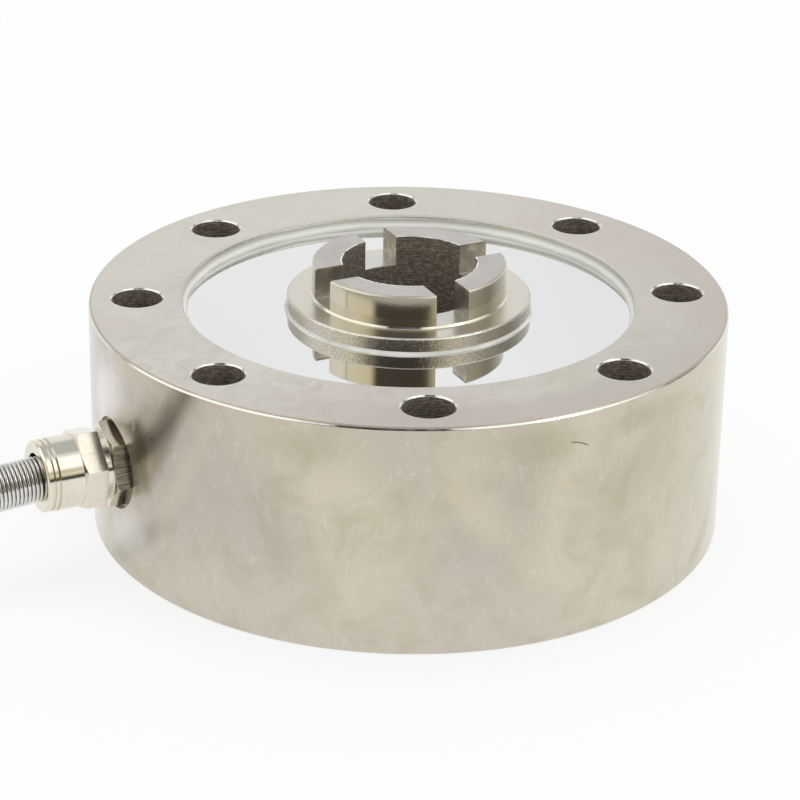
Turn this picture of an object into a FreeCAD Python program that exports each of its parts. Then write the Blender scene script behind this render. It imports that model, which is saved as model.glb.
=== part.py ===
import FreeCAD, Part
import math
import os

# A pancake load cell, the spoked kind. A force on its central hub is carried to the bolted outer
# ring by four short spokes, and strain gauges on the spokes' sides measure their shear.
# Millimetres, +Z up. The origin is the centre of the base face. The cable leaves along -X.

V = FreeCAD.Vector
ORIGIN = V(0, 0, 0)
UP = V(0, 0, 1)
ALONG_X = V(1, 0, 0)
FULL_TURN = 360.0
HEX_CORNER_SHARE = 2 / math.sqrt(3)

# Body, across, from the bore outwards: the widths of the crown's wall, the flange, the shoulder
# under the covers, the spokes, the covers' ledge and the outer ring, which add up to 110 mm across
BORE_DIA = 23.2
CROWN_WALL = 5.1
FLANGE_WIDTH = 4.3
HUB_SHOULDER = 2.0
SPOKE_LENGTH = 13.0
LEDGE_WIDTH = 3.0
RING_WIDTH = 16.0

# Body, upwards
BODY_HEIGHT = 40.2
COVER_SET_BACK = 2.2
COVER_THICKNESS = 1.2
HUB_GAP_UNDER_COVER = 0.3
HUB_BASE_LIFT = 1.0
FLANGE_RISE = 0.6
CROWN_RISE = 6.35
CROWN_ROOT = 0.35

# Body: edges
RING_CHAMFER = 0.45
POCKET_CHAMFER = 0.3
FLANGE_CHAMFER = 0.3
CROWN_CHAMFER = 0.3
BORE_CHAMFER = 0.3

# Body: bolt holes, a little inside the middle of the ring, and the slots that part the crown into teeth
BOLT_COUNT = 8
BOLT_HOLE_DIA = 8.6
BOLT_HOLE_CHAMFER = 0.3
BOLT_INSET = 0.3
SLOT_COUNT = 4
SLOT_WIDTH = 6.0
SLOT_FLOOR_STEP = 0.4

# Body: spokes and the windows between them
SPOKE_COUNT = 4
SPOKE_WIDTH = 12.0
SPOKE_HEIGHT = 22.0
WINDOW_FILLET = 2.0

# Body: the cable's way through the ring
GLAND_HEIGHT = 19.0
SPOT_FACE_DEPTH = 1.5
SPOT_FACE_CLEARANCE = 0.5
PORT_THREAD_DIA = 10.0
PORT_THREAD_DEPTH = 9.0
PORT_PASSAGE_DIA = 6.8
THREAD_CLEARANCE = 0.05

# Covers' fit and seals
COVER_CLEARANCE = 0.15
SEAL_BEAD = 0.9
SEAL_TOP_GAP = 0.45
INNER_SEAL_GAP = 0.4

# Gland
GLAND_HEX = 12.7
WASHER_RIM = 0.07
WASHER_THICKNESS = 0.3
GLAND_HEX_LENGTH = 3.2
GLAND_HEX_TURN = 16.5
COLLAR_DIA = 11.8
COLLAR_LENGTH = 1.1
SPIGOT_END_CLEARANCE = 0.6
CAP_GAP = 0.1
CAP_HEX = 12.6
CAP_HEX_LENGTH = 3.9
CAP_HEX_TURN = -12.6
CAP_BARREL_DIA = 12.4
CAP_BARREL_LENGTH = 4.1
CAP_GROOVE_DEPTH = 0.45
CAP_GROOVE_WIDTH = 0.4
CAP_LAND_LENGTH = 0.5
CAP_RING_DIA = 12.2
CAP_RING_LENGTH = 1.0
CAP_EDGE_CHAMFER = 0.3
CAP_MOUTH_CLEARANCE = 0.15
CAP_SHOULDER_DEPTH = 6.0
CAP_THREAD_DIA = 10.0
NECK_LENGTH = 4.2
HEX_CHAMFER_ANGLE = 22.0
GROMMET_DIA = 8.0
GROMMET_LENGTH = 5.9
GROMMET_SEAT_DEPTH = 4.9
CLAMP_RING_CLEARANCE = 0.15

# Cable and the spring over it
CABLE_DIA = 5.0
CABLE_CLEARANCE = 0.3
CABLE_INSIDE = 20.5
SPRING_DIA = 7.8
SPRING_WIRE = 0.65
SPRING_LENGTH = 56.0
ARC_SHARE = 0.45

# The lead's corners: distance out from the gland's tip, sideways, and height above the floor
LEAD_CORNERS = (
    (10.6, 0.0, 19.0),
    (41.5, -0.5, 12.5),
    (70.0, -6.0, 4.4),
    (102.0, -16.0, 2.5),
    (135.0, -15.0, 2.5),
    (154.0, 2.0, 2.5),
    (156.0, 27.0, 2.5),
    (144.0, 50.0, 2.5),
    (125.0, 64.0, 2.5),
)

# The put-away coil: its centre is given the same way as the lead's corners
COIL_OUT = 108.0
COIL_SIDE = 30.0
COIL_MEAN_RADIUS = 30.0
COIL_LAYERS = 4
COIL_PITCH = 5.5
COIL_FILLET = 2.2

# The cable's last stretch lies on the coil: angle round it, radius, and height above the coil
TAIL_CORNERS = (
    (6.0, 31.0, -3.5),
    (-30.0, 31.0, 0.6),
    (-66.0, 31.0, 2.5),
    (-102.0, 31.0, 2.5),
    (-138.0, 31.0, 2.5),
)

# Bare leads at the far end: name, angle round the cable's axis, and spread at the tips
LEADS = (
    ("lead_red", 162.0, -5.2),
    ("lead_black", 234.0, -2.5),
    ("lead_shield", 90.0, 0.0),
    ("lead_green", 306.0, 2.5),
    ("lead_white", 18.0, 5.2),
)
LEAD_DIA = 1.2
LEAD_LAY_RADIUS = 1.25
LEAD_TIP_DIA = 0.7
LEAD_TIP_LENGTH = 6.0
LEAD_STEP_ANGLE = 22.0
LEAD_CORNER_COUNT = 4

# Cable tie round the coil's section
TIE_ANGLE = 45.0
TIE_WIDTH = 4.0
TIE_THICKNESS = 0.75
TIE_HEAD = (5.0, 6.0, 4.5)

# Gauges and wiring inside the cavity
GAUGE_END_CLEARANCE = 1.4
GAUGE_HEIGHT = 8.0
GAUGE_THICKNESS = 0.2
BOARD_SEAT_DEPTH = 1.2
BOARD_WIDTH = 13.0
BOARD_HEIGHT = 18.0
BOARD_THICKNESS = 1.0
TERMINAL_COUNT = 4
TERMINAL_PITCH = 3.0
TERMINAL_DIA = 1.0
TERMINAL_LENGTH = 1.5
TERMINAL_ROW_SPREAD = 5.0
RESISTOR_SIZE = (0.6, 3.2, 1.6)
RESISTOR_SPREAD = 2.6
WIRE_DIA = 0.8
HARNESS_DIA = 1.6
HARNESS_OPEN_ANGLE = 14.0
CORE_DIA = 1.2
CORE_OFFSET = 0.95
CORE_BEND_CLEARANCE = 3.0

# Sizes that follow
CROWN_DIA = BORE_DIA + 2 * CROWN_WALL
FLANGE_DIA = CROWN_DIA + 2 * FLANGE_WIDTH
HUB_DIA = FLANGE_DIA + 2 * HUB_SHOULDER
CAVITY_DIA = HUB_DIA + 2 * SPOKE_LENGTH
POCKET_DIA = CAVITY_DIA + 2 * LEDGE_WIDTH
BOLT_CIRCLE_DIA = POCKET_DIA + RING_WIDTH - 2 * BOLT_INSET
BODY_DIA = POCKET_DIA + 2 * RING_WIDTH
BODY_RADIUS = BODY_DIA / 2
COVER_TOP = BODY_HEIGHT - COVER_SET_BACK
LEDGE_TOP = COVER_TOP - COVER_THICKNESS
COVER_BOTTOM = COVER_SET_BACK
LEDGE_BOTTOM = COVER_BOTTOM + COVER_THICKNESS
FLANGE_TOP = BODY_HEIGHT + FLANGE_RISE
SLOT_FLOOR = FLANGE_TOP + SLOT_FLOOR_STEP
CROWN_TOP = BODY_HEIGHT + CROWN_RISE
MID_HEIGHT = BODY_HEIGHT / 2
SPOKE_TOP = MID_HEIGHT + SPOKE_HEIGHT / 2
SPOKE_BOTTOM = MID_HEIGHT - SPOKE_HEIGHT / 2
SPOKE_HALF_STEP = FULL_TURN / SPOKE_COUNT / 2
SPOKE_MIDDLE = HUB_DIA / 2 + SPOKE_LENGTH / 2
GAUGE_LENGTH = SPOKE_LENGTH - 2 * (WINDOW_FILLET + GAUGE_END_CLEARANCE)
WASHER_DIA = GLAND_HEX * HEX_CORNER_SHARE + 2 * WASHER_RIM
SPOT_FACE_DIA = WASHER_DIA + 2 * SPOT_FACE_CLEARANCE
WASHER_SEAT = BODY_RADIUS - SPOT_FACE_DEPTH
GLAND_BASE = WASHER_SEAT + WASHER_THICKNESS
GLAND_HEX_END = GLAND_BASE + GLAND_HEX_LENGTH
COLLAR_END = GLAND_HEX_END + COLLAR_LENGTH
NECK_END = COLLAR_END + NECK_LENGTH
CAP_BASE = COLLAR_END + CAP_GAP
CAP_HEX_END = CAP_BASE + CAP_HEX_LENGTH
BARREL_END = CAP_HEX_END + CAP_BARREL_LENGTH
CAP_SHOULDER = CAP_BASE + CAP_SHOULDER_DEPTH
CAP_BORE_DIA = CAP_THREAD_DIA + 2 * THREAD_CLEARANCE
CAP_MOUTH_DIA = SPRING_DIA + 2 * CAP_MOUTH_CLEARANCE
CLAMP_RING_DIA = CAP_BORE_DIA - 2 * CLAMP_RING_CLEARANCE
GLAND_TIP = BARREL_END + 2 * CAP_GROOVE_WIDTH + CAP_LAND_LENGTH + CAP_RING_LENGTH
GROMMET_SEAT = NECK_END - GROMMET_SEAT_DEPTH
GROMMET_END = GROMMET_SEAT + GROMMET_LENGTH
COIL_CENTRE = V(-GLAND_TIP - COIL_OUT, COIL_SIDE, 0)
COIL_WIDTH = COIL_PITCH * (COIL_LAYERS - 1) + CABLE_DIA
BOARD_SEAT = HUB_DIA / 2 - BOARD_SEAT_DEPTH
BOARD_FACE = BOARD_SEAT + BOARD_THICKNESS


def save(name, shape):
    """Write one sub-part."""
    shape.exportStep("parts/" + name + ".step")


def turned(corners):
    """Return the solid turned about Z from a closed outline of (radius, height) corners."""
    outline = Part.makePolygon([V(r, 0, z) for r, z in corners] + [V(corners[0][0], 0, corners[0][1])])
    return Part.Face(outline).revolve(ORIGIN, UP, FULL_TURN)


def plate_ring(inner_radius, outer_radius, low, high):
    """Return a plain ring about Z."""
    return turned([(inner_radius, low), (outer_radius, low), (outer_radius, high), (inner_radius, high)])


def box(centre, size):
    """Return a box given by its centre and its size along X, Y and Z."""
    return Part.makeBox(*size, centre - V(*size) * 0.5)


def copies_round(shape, count, first_angle=0.0):
    """Return copies of a shape, evenly spaced round Z."""
    step = FULL_TURN / count
    return [shape.rotated(ORIGIN, UP, first_angle + step * i) for i in range(count)]


def place_on_gland(shape):
    """Move a piece made about Z, with its height as distance from the cell's axis, onto the gland's axis."""
    return shape.rotated(ORIGIN, V(0, 1, 0), -90).translated(V(0, 0, GLAND_HEIGHT))


# Routes and tubes


def rounded_route(corners):
    """Return straight runs joined by tangent arcs, each as large as its two runs allow, and the radii."""
    edges = []
    radii = []
    start = corners[0]
    for before, corner, after in zip(corners, corners[1:], corners[2:]):
        run_in = corner - before
        run_out = after - corner
        reach = ARC_SHARE * min(run_in.Length, run_out.Length)
        half_turn = run_in.getAngle(run_out) / 2
        radius = reach / math.tan(half_turn)
        ahead_in = V(run_in).normalize()
        ahead_out = V(run_out).normalize()
        inward = (ahead_out - ahead_in).normalize()
        centre = corner + inward * (radius / math.cos(half_turn))
        arc_start = corner - ahead_in * reach
        arc_end = corner + ahead_out * reach
        edges.append(Part.LineSegment(start, arc_start).toShape())
        edges.append(Part.Arc(arc_start, centre - inward * radius, arc_end).toShape())
        radii.append(radius)
        start = arc_end
    edges.append(Part.LineSegment(start, corners[-1]).toShape())
    return edges, radii


def stretch(edges, begin, end):
    """Return the part of a route between two distances along it."""
    kept = []
    travelled = 0.0
    for edge in edges:
        low = max(begin - travelled, 0.0)
        high = min(end - travelled, edge.Length)
        if high > low:
            first = edge.getParameterByLength(low)
            last = edge.getParameterByLength(high)
            kept.append(edge.Curve.toShape(first, last))
        travelled += edge.Length
    return kept


def tube(edges, diameter):
    """Sweep a round section along a route."""
    path = Part.Wire(edges)
    start = edges[0].valueAt(edges[0].FirstParameter)
    ahead = edges[0].tangentAt(edges[0].FirstParameter)
    section = Part.Wire(Part.makeCircle(diameter / 2, start, ahead))
    return path.makePipeShell([section], True, False)


def wire_run(corners, diameter):
    """Return a thin wire that follows a few corners."""
    return tube(rounded_route([V(*corner) for corner in corners])[0], diameter)


# The machined body


def ring_and_hub():
    """Return the body before its holes, with the web between hub and ring still solid."""
    ring = turned([
        (CAVITY_DIA / 2, LEDGE_BOTTOM),
        (POCKET_DIA / 2, LEDGE_BOTTOM),
        (POCKET_DIA / 2, POCKET_CHAMFER),
        (POCKET_DIA / 2 + POCKET_CHAMFER, 0),
        (BODY_RADIUS - RING_CHAMFER, 0),
        (BODY_RADIUS, RING_CHAMFER),
        (BODY_RADIUS, BODY_HEIGHT - RING_CHAMFER),
        (BODY_RADIUS - RING_CHAMFER, BODY_HEIGHT),
        (POCKET_DIA / 2 + POCKET_CHAMFER, BODY_HEIGHT),
        (POCKET_DIA / 2, BODY_HEIGHT - POCKET_CHAMFER),
        (POCKET_DIA / 2, LEDGE_TOP),
        (CAVITY_DIA / 2, LEDGE_TOP),
    ])
    web = plate_ring(HUB_DIA / 2, CAVITY_DIA / 2, SPOKE_BOTTOM, SPOKE_TOP)
    return ring.fuse([web, hub()]).removeSplitter()


def hub():
    """Return the hub: shoulders under the covers, flange, foot and the crown before its slots."""
    shoulder_low = LEDGE_BOTTOM + HUB_GAP_UNDER_COVER
    shoulder_high = LEDGE_TOP - HUB_GAP_UNDER_COVER
    return turned([
        (BORE_DIA / 2, HUB_BASE_LIFT + BORE_CHAMFER),
        (BORE_DIA / 2 + BORE_CHAMFER, HUB_BASE_LIFT),
        (FLANGE_DIA / 2 - FLANGE_CHAMFER, HUB_BASE_LIFT),
        (FLANGE_DIA / 2, HUB_BASE_LIFT + FLANGE_CHAMFER),
        (FLANGE_DIA / 2, shoulder_low),
        (HUB_DIA / 2, shoulder_low),
        (HUB_DIA / 2, shoulder_high),
        (FLANGE_DIA / 2, shoulder_high),
        (FLANGE_DIA / 2, FLANGE_TOP - FLANGE_CHAMFER),
        (FLANGE_DIA / 2 - FLANGE_CHAMFER, FLANGE_TOP),
        (CROWN_DIA / 2 + CROWN_ROOT, FLANGE_TOP),
        (CROWN_DIA / 2, FLANGE_TOP + CROWN_ROOT),
        (CROWN_DIA / 2, CROWN_TOP - CROWN_CHAMFER),
        (CROWN_DIA / 2 - CROWN_CHAMFER, CROWN_TOP),
        (BORE_DIA / 2, CROWN_TOP),
    ])


def windows():
    """Return the tools that cut the four windows and leave the spokes, with rounded corners."""
    sector = plate_ring(HUB_DIA / 2, CAVITY_DIA / 2, SPOKE_BOTTOM, SPOKE_TOP)
    bar = box(V(CAVITY_DIA / 2, 0, MID_HEIGHT), (CAVITY_DIA, SPOKE_WIDTH, SPOKE_HEIGHT))
    openings = sector.cut(copies_round(bar, SPOKE_COUNT, SPOKE_HALF_STEP))
    tools = []
    for opening in openings.Solids:
        upright = [e for e in opening.Edges if is_upright(e)]
        tools.append(opening.makeFillet(WINDOW_FILLET, upright))
    return tools


def is_upright(edge):
    """Say whether an edge is a straight line along Z."""
    ends = [vertex.Point for vertex in edge.Vertexes]
    return len(ends) == 2 and math.hypot(ends[0].x - ends[1].x, ends[0].y - ends[1].y) < 1e-6


def bolt_holes():
    """Return the tools for the through holes, chamfered at both ends, midway round from the gland."""
    radius = BOLT_HOLE_DIA / 2
    wide = radius + BOLT_HOLE_CHAMFER
    tool = turned([
        (0, 0),
        (wide, 0),
        (radius, BOLT_HOLE_CHAMFER),
        (radius, BODY_HEIGHT - BOLT_HOLE_CHAMFER),
        (wide, BODY_HEIGHT),
        (0, BODY_HEIGHT),
    ]).translated(V(BOLT_CIRCLE_DIA / 2, 0, 0))
    return copies_round(tool, BOLT_COUNT, FULL_TURN / BOLT_COUNT / 2)


def crown_slots():
    """Return the tools for the slots that part the crown into teeth."""
    height = CROWN_TOP - SLOT_FLOOR
    slot = box(V(CROWN_DIA / 2, 0, SLOT_FLOOR + height / 2), (CROWN_DIA, SLOT_WIDTH, height))
    return copies_round(slot, SLOT_COUNT)


def cable_port():
    """Return the tool for the gland's seat, its thread and the cable's passage."""
    return place_on_gland(turned([
        (0, SPOKE_MIDDLE),
        (PORT_PASSAGE_DIA / 2, SPOKE_MIDDLE),
        (PORT_PASSAGE_DIA / 2, WASHER_SEAT - PORT_THREAD_DEPTH),
        (PORT_THREAD_DIA / 2 + THREAD_CLEARANCE, WASHER_SEAT - PORT_THREAD_DEPTH),
        (PORT_THREAD_DIA / 2 + THREAD_CLEARANCE, WASHER_SEAT),
        (SPOT_FACE_DIA / 2, WASHER_SEAT),
        (SPOT_FACE_DIA / 2, GLAND_TIP),
        (0, GLAND_TIP),
    ]))


def board_seat():
    """Return the tool for the flat on the hub that the terminal board is bonded to."""
    deep = CAVITY_DIA / 2 - BOARD_SEAT
    centre = V(-BOARD_SEAT - deep / 2, 0, MID_HEIGHT)
    return box(centre, (deep, CAVITY_DIA, SPOKE_HEIGHT))


def elastic_body():
    """Return the whole machined body."""
    hub_flat = board_seat().common(plate_ring(BORE_DIA / 2, HUB_DIA / 2, SPOKE_BOTTOM, SPOKE_TOP))
    tools = windows() + bolt_holes() + crown_slots() + [cable_port(), hub_flat]
    return ring_and_hub().cut(tools)


# Covers and seals


def mirrored(shape):
    """Return a piece of the upper side as it lies on the lower side."""
    return shape.mirror(V(0, 0, MID_HEIGHT), UP)


def cover():
    """Return the upper cover plate."""
    inner = FLANGE_DIA / 2 + INNER_SEAL_GAP
    return plate_ring(inner, POCKET_DIA / 2 - COVER_CLEARANCE, LEDGE_TOP, COVER_TOP)


def outer_seal():
    """Return the bead in the corner between the upper cover and the pocket's wall."""
    wall = POCKET_DIA / 2
    return turned([
        (wall - COVER_CLEARANCE, LEDGE_TOP),
        (wall, LEDGE_TOP),
        (wall, BODY_HEIGHT - SEAL_TOP_GAP),
        (wall - SEAL_BEAD / 3, COVER_TOP + SEAL_BEAD / 3),
        (wall - SEAL_BEAD, COVER_TOP),
        (wall - COVER_CLEARANCE, COVER_TOP),
    ])


def inner_seal():
    """Return the bead between the upper cover and the hub's flange."""
    wall = FLANGE_DIA / 2
    low = LEDGE_TOP - HUB_GAP_UNDER_COVER
    return turned([
        (wall, low),
        (HUB_DIA / 2, low),
        (HUB_DIA / 2, LEDGE_TOP),
        (wall + INNER_SEAL_GAP, LEDGE_TOP),
        (wall + INNER_SEAL_GAP, COVER_TOP),
        (wall + SEAL_BEAD, COVER_TOP),
        (wall, COVER_TOP + SEAL_BEAD / 2),
    ])


# Gland


def hexagon(across_flats, low, high, turn):
    """Return a hexagonal prism about Z, its outer end chamfered as a turned nut is."""
    corner_radius = across_flats / 2 * HEX_CORNER_SHARE
    corners = [
        V(corner_radius * math.cos(math.radians(turn + 60 * i)),
          corner_radius * math.sin(math.radians(turn + 60 * i)), low)
        for i in range(7)
    ]
    prism = Part.Face(Part.makePolygon(corners)).extrude(V(0, 0, high - low))
    face_radius = across_flats / 2
    drop = (corner_radius - face_radius) * math.tan(math.radians(HEX_CHAMFER_ANGLE))
    turned_blank = turned([
        (0, low), (corner_radius, low), (corner_radius, high - drop), (face_radius, high), (0, high)
    ])
    return prism.common(turned_blank)


def gland_washer():
    """Return the sealing washer between the gland's hexagon and the body."""
    bore = PORT_THREAD_DIA / 2 + THREAD_CLEARANCE
    return place_on_gland(plate_ring(bore, WASHER_DIA / 2, WASHER_SEAT, GLAND_BASE))


def gland_body():
    """Return the gland's first half: spigot, hexagon, collar and the neck inside the cap."""
    spigot_end = WASHER_SEAT - PORT_THREAD_DEPTH + SPIGOT_END_CLEARANCE
    spigot = plate_ring(0, PORT_THREAD_DIA / 2, spigot_end, GLAND_BASE)
    nut = hexagon(GLAND_HEX, GLAND_BASE, GLAND_HEX_END, GLAND_HEX_TURN)
    collar = plate_ring(0, COLLAR_DIA / 2, GLAND_HEX_END, COLLAR_END)
    neck = plate_ring(0, CAP_THREAD_DIA / 2, COLLAR_END, NECK_END)
    throat = turned([
        (0, 0),
        (CABLE_DIA / 2 + CABLE_CLEARANCE, 0),
        (CABLE_DIA / 2 + CABLE_CLEARANCE, GROMMET_SEAT),
        (GROMMET_DIA / 2, GROMMET_SEAT),
        (GROMMET_DIA / 2, NECK_END),
        (0, NECK_END),
    ])
    return place_on_gland(spigot.fuse([nut, collar, neck]).cut(throat).removeSplitter())


def gland_cap():
    """Return the cap nut: hexagon, barrel, two grooves, and the end ring with its mouth."""
    barrel = CAP_BARREL_DIA / 2
    groove = barrel - CAP_GROOVE_DEPTH
    ring = CAP_RING_DIA / 2
    land_start = BARREL_END + CAP_GROOVE_WIDTH
    land_end = land_start + CAP_LAND_LENGTH
    ring_start = land_end + CAP_GROOVE_WIDTH
    outside = turned([
        (0, CAP_BASE),
        (barrel, CAP_BASE),
        (barrel, BARREL_END),
        (groove, BARREL_END),
        (groove, land_start),
        (ring, land_start),
        (ring, land_end),
        (groove, land_end),
        (groove, ring_start),
        (ring, ring_start),
        (ring, GLAND_TIP - CAP_EDGE_CHAMFER),
        (ring - CAP_EDGE_CHAMFER, GLAND_TIP),
        (0, GLAND_TIP),
    ])
    inside = turned([
        (0, CAP_BASE),
        (CAP_BORE_DIA / 2, CAP_BASE),
        (CAP_BORE_DIA / 2, CAP_SHOULDER),
        (CAP_MOUTH_DIA / 2, CAP_SHOULDER),
        (CAP_MOUTH_DIA / 2, GLAND_TIP),
        (0, GLAND_TIP),
    ])
    nut = hexagon(CAP_HEX, CAP_BASE, CAP_HEX_END, CAP_HEX_TURN)
    return place_on_gland(outside.fuse(nut).cut(inside).removeSplitter())


def gland_grommet():
    """Return the rubber sleeve that the cap squeezes onto the cable."""
    return place_on_gland(plate_ring(CABLE_DIA / 2, GROMMET_DIA / 2, GROMMET_SEAT, GROMMET_END))


def clamp_ring():
    """Return the ring between the grommet and the cap's shoulder, which the spring stands on."""
    bore = CABLE_DIA / 2 + CABLE_CLEARANCE / 2
    return place_on_gland(plate_ring(bore, CLAMP_RING_DIA / 2, GROMMET_END, CAP_SHOULDER))


# Cable


def lead_route():
    """Return the lead's edges from inside the gland to the coil, and its radii."""
    inside = V(-GLAND_TIP + CABLE_INSIDE, 0, GLAND_HEIGHT)
    corners = [V(-GLAND_TIP - out, side, height) for out, side, height in LEAD_CORNERS]
    return rounded_route([inside] + corners)


def cable_lead():
    """Return the cable from inside the gland to where it joins the coil."""
    return tube(lead_route()[0], CABLE_DIA).cut(coil_blank())


def relief_spring():
    """Return the spring's outer form, a sleeve that bends with the cable."""
    begin = CABLE_INSIDE - (GLAND_TIP - CAP_SHOULDER)
    path = stretch(lead_route()[0], begin, begin + SPRING_LENGTH)
    return tube(path, SPRING_DIA).cut(tube(path, SPRING_DIA - 2 * SPRING_WIRE))


def coil_blank():
    """Return the coil's whole outer form, before the tie's groove."""
    inner = COIL_MEAN_RADIUS - COIL_WIDTH / 2
    ring = plate_ring(inner, inner + COIL_WIDTH, 0, COIL_WIDTH)
    round_edges = [edge for edge in ring.Edges if edge.Curve.TypeId == "Part::GeomCircle"]
    return ring.makeFillet(COIL_FILLET, round_edges).translated(COIL_CENTRE)


def cable_coil():
    """Return the coil, drawn in where the tie holds it."""
    groove = tie_section(-TIE_THICKNESS).cut(tie_core())
    return coil_blank().cut(place_tie(groove))


def tie_section(margin):
    """Return a block across the coil's section at the tie, smaller by a margin all round."""
    size = COIL_WIDTH - 2 * margin
    return box(V(COIL_MEAN_RADIUS, 0, COIL_WIDTH / 2), (size, TIE_WIDTH, size))


def place_tie(shape):
    """Turn a piece of the tie to its place on the coil."""
    return shape.rotated(ORIGIN, UP, TIE_ANGLE).translated(COIL_CENTRE)


def rounded_block(block, radius):
    """Round the edges of a block that run along Y."""
    along_y = [e for e in block.Edges if abs(e.Vertexes[0].Y - e.Vertexes[1].Y) > 1e-6]
    return block.makeFillet(radius, along_y)


def tie_core():
    """Return the coil's drawn-in section, which the tie's band lies round."""
    return rounded_block(tie_section(TIE_THICKNESS), COIL_FILLET - TIE_THICKNESS)


def tie_band():
    """Return the band that goes round the coil's section."""
    outer = rounded_block(tie_section(0), COIL_FILLET)
    return place_tie(outer.cut(tie_core()))


def cable_tie():
    """Return the tie: its band and its head, on the coil's outer side."""
    reach, width, height = TIE_HEAD
    outside = COIL_MEAN_RADIUS + COIL_WIDTH / 2
    head = box(V(outside + reach / 2, 0, COIL_WIDTH / 2), (reach, width, height))
    return tie_band().fuse(place_tie(head))


def on_coil(angle, radius, height):
    """Return a point over the coil, given by its angle, its radius and its height above the coil."""
    turn = math.radians(angle)
    return COIL_CENTRE + V(radius * math.cos(turn), radius * math.sin(turn), COIL_WIDTH + height)


def tail_route():
    """Return the edges of the cable's last stretch, and its radii."""
    return rounded_route([on_coil(*corner) for corner in TAIL_CORNERS])


def cable_tail():
    """Return the cable's last stretch, which rises out of the coil and lies on it."""
    return tube(tail_route()[0], CABLE_DIA).cut(coil_blank())


def bare_lead(lay_angle, spread):
    """Return one core beyond the sheath: it bends with the coil, fans out, and ends in a bare tip."""
    angle, radius, height = TAIL_CORNERS[-1]
    side_start = LEAD_LAY_RADIUS * math.cos(math.radians(lay_angle))
    height_start = height + LEAD_LAY_RADIUS * math.sin(math.radians(lay_angle))
    corners = []
    for step in range(LEAD_CORNER_COUNT):
        share = step / (LEAD_CORNER_COUNT - 1)
        side = side_start + (spread - side_start) * share
        drop = (height_start - LEAD_DIA / 2) * math.sin(share * math.pi / 2)
        corners.append(on_coil(angle - LEAD_STEP_ANGLE * step, radius + side, height_start - drop))
    edges, _ = rounded_route(corners)
    length = Part.Wire(edges).Length
    core = tube(stretch(edges, 0, length - LEAD_TIP_LENGTH), LEAD_DIA)
    tip = tube(stretch(edges, length - LEAD_TIP_LENGTH, length), LEAD_TIP_DIA)
    return core.fuse(tip).cut(cable_tail())


# Gauges and wiring


def spoke_side(piece, number):
    """Place a piece made on the +Y side of a spoke along +X: two sides a spoke, four spokes."""
    spoke, side = divmod(number, 2)
    if side:
        piece = piece.mirror(ORIGIN, V(0, 1, 0))
    return piece.rotated(ORIGIN, UP, SPOKE_HALF_STEP + spoke * FULL_TURN / SPOKE_COUNT)


def shear_gauge(number):
    """Return one strain gauge, bonded to the middle of a spoke's side."""
    centre = V(SPOKE_MIDDLE, SPOKE_WIDTH / 2 + GAUGE_THICKNESS / 2, MID_HEIGHT)
    return spoke_side(box(centre, (GAUGE_LENGTH, GAUGE_THICKNESS, GAUGE_HEIGHT)), number)


def terminal_board():
    """Return the board that joins the bridge to the cable, bonded to the hub's flat."""
    centre = V(-BOARD_SEAT - BOARD_THICKNESS / 2, 0, MID_HEIGHT)
    return box(centre, (BOARD_THICKNESS, BOARD_WIDTH, BOARD_HEIGHT))


def terminal_places(row_height):
    """Return the terminals' roots along one row of the board."""
    first = -TERMINAL_PITCH * (TERMINAL_COUNT - 1) / 2
    return [V(-BOARD_FACE, first + TERMINAL_PITCH * i, row_height) for i in range(TERMINAL_COUNT)]


def solder_terminals():
    """Return the two rows of solder pins."""
    rows = (MID_HEIGHT - TERMINAL_ROW_SPREAD, MID_HEIGHT + TERMINAL_ROW_SPREAD)
    roots = [root for row in rows for root in terminal_places(row)]
    return Part.makeCompound([
        Part.makeCylinder(TERMINAL_DIA / 2, TERMINAL_LENGTH, root, ALONG_X * -1) for root in roots
    ])


def trim_resistors():
    """Return the two chips that trim the bridge."""
    return Part.makeCompound([
        box(V(-BOARD_FACE - RESISTOR_SIZE[0] / 2, side, MID_HEIGHT), RESISTOR_SIZE)
        for side in (-RESISTOR_SPREAD, RESISTOR_SPREAD)
    ])


def core_wires():
    """Return the cable's four cores, from the end of its sheath to the lower row of pins."""
    sheath_end = -GLAND_TIP + CABLE_INSIDE
    bend = -BOARD_FACE - TERMINAL_LENGTH - CORE_BEND_CLEARANCE * 2
    wires = []
    for i, root in enumerate(terminal_places(MID_HEIGHT - TERMINAL_ROW_SPREAD)):
        side = CORE_OFFSET * (1 if i >= TERMINAL_COUNT / 2 else -1)
        height = GLAND_HEIGHT + CORE_OFFSET * (1 if i in (0, TERMINAL_COUNT - 1) else -1)
        wires.append(wire_run([
            (sheath_end, side, height),
            (bend, side, height),
            (root.x - TERMINAL_LENGTH, root.y, root.z),
        ], CORE_DIA).cut(solder_terminals()))
    return Part.makeCompound(wires)


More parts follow.
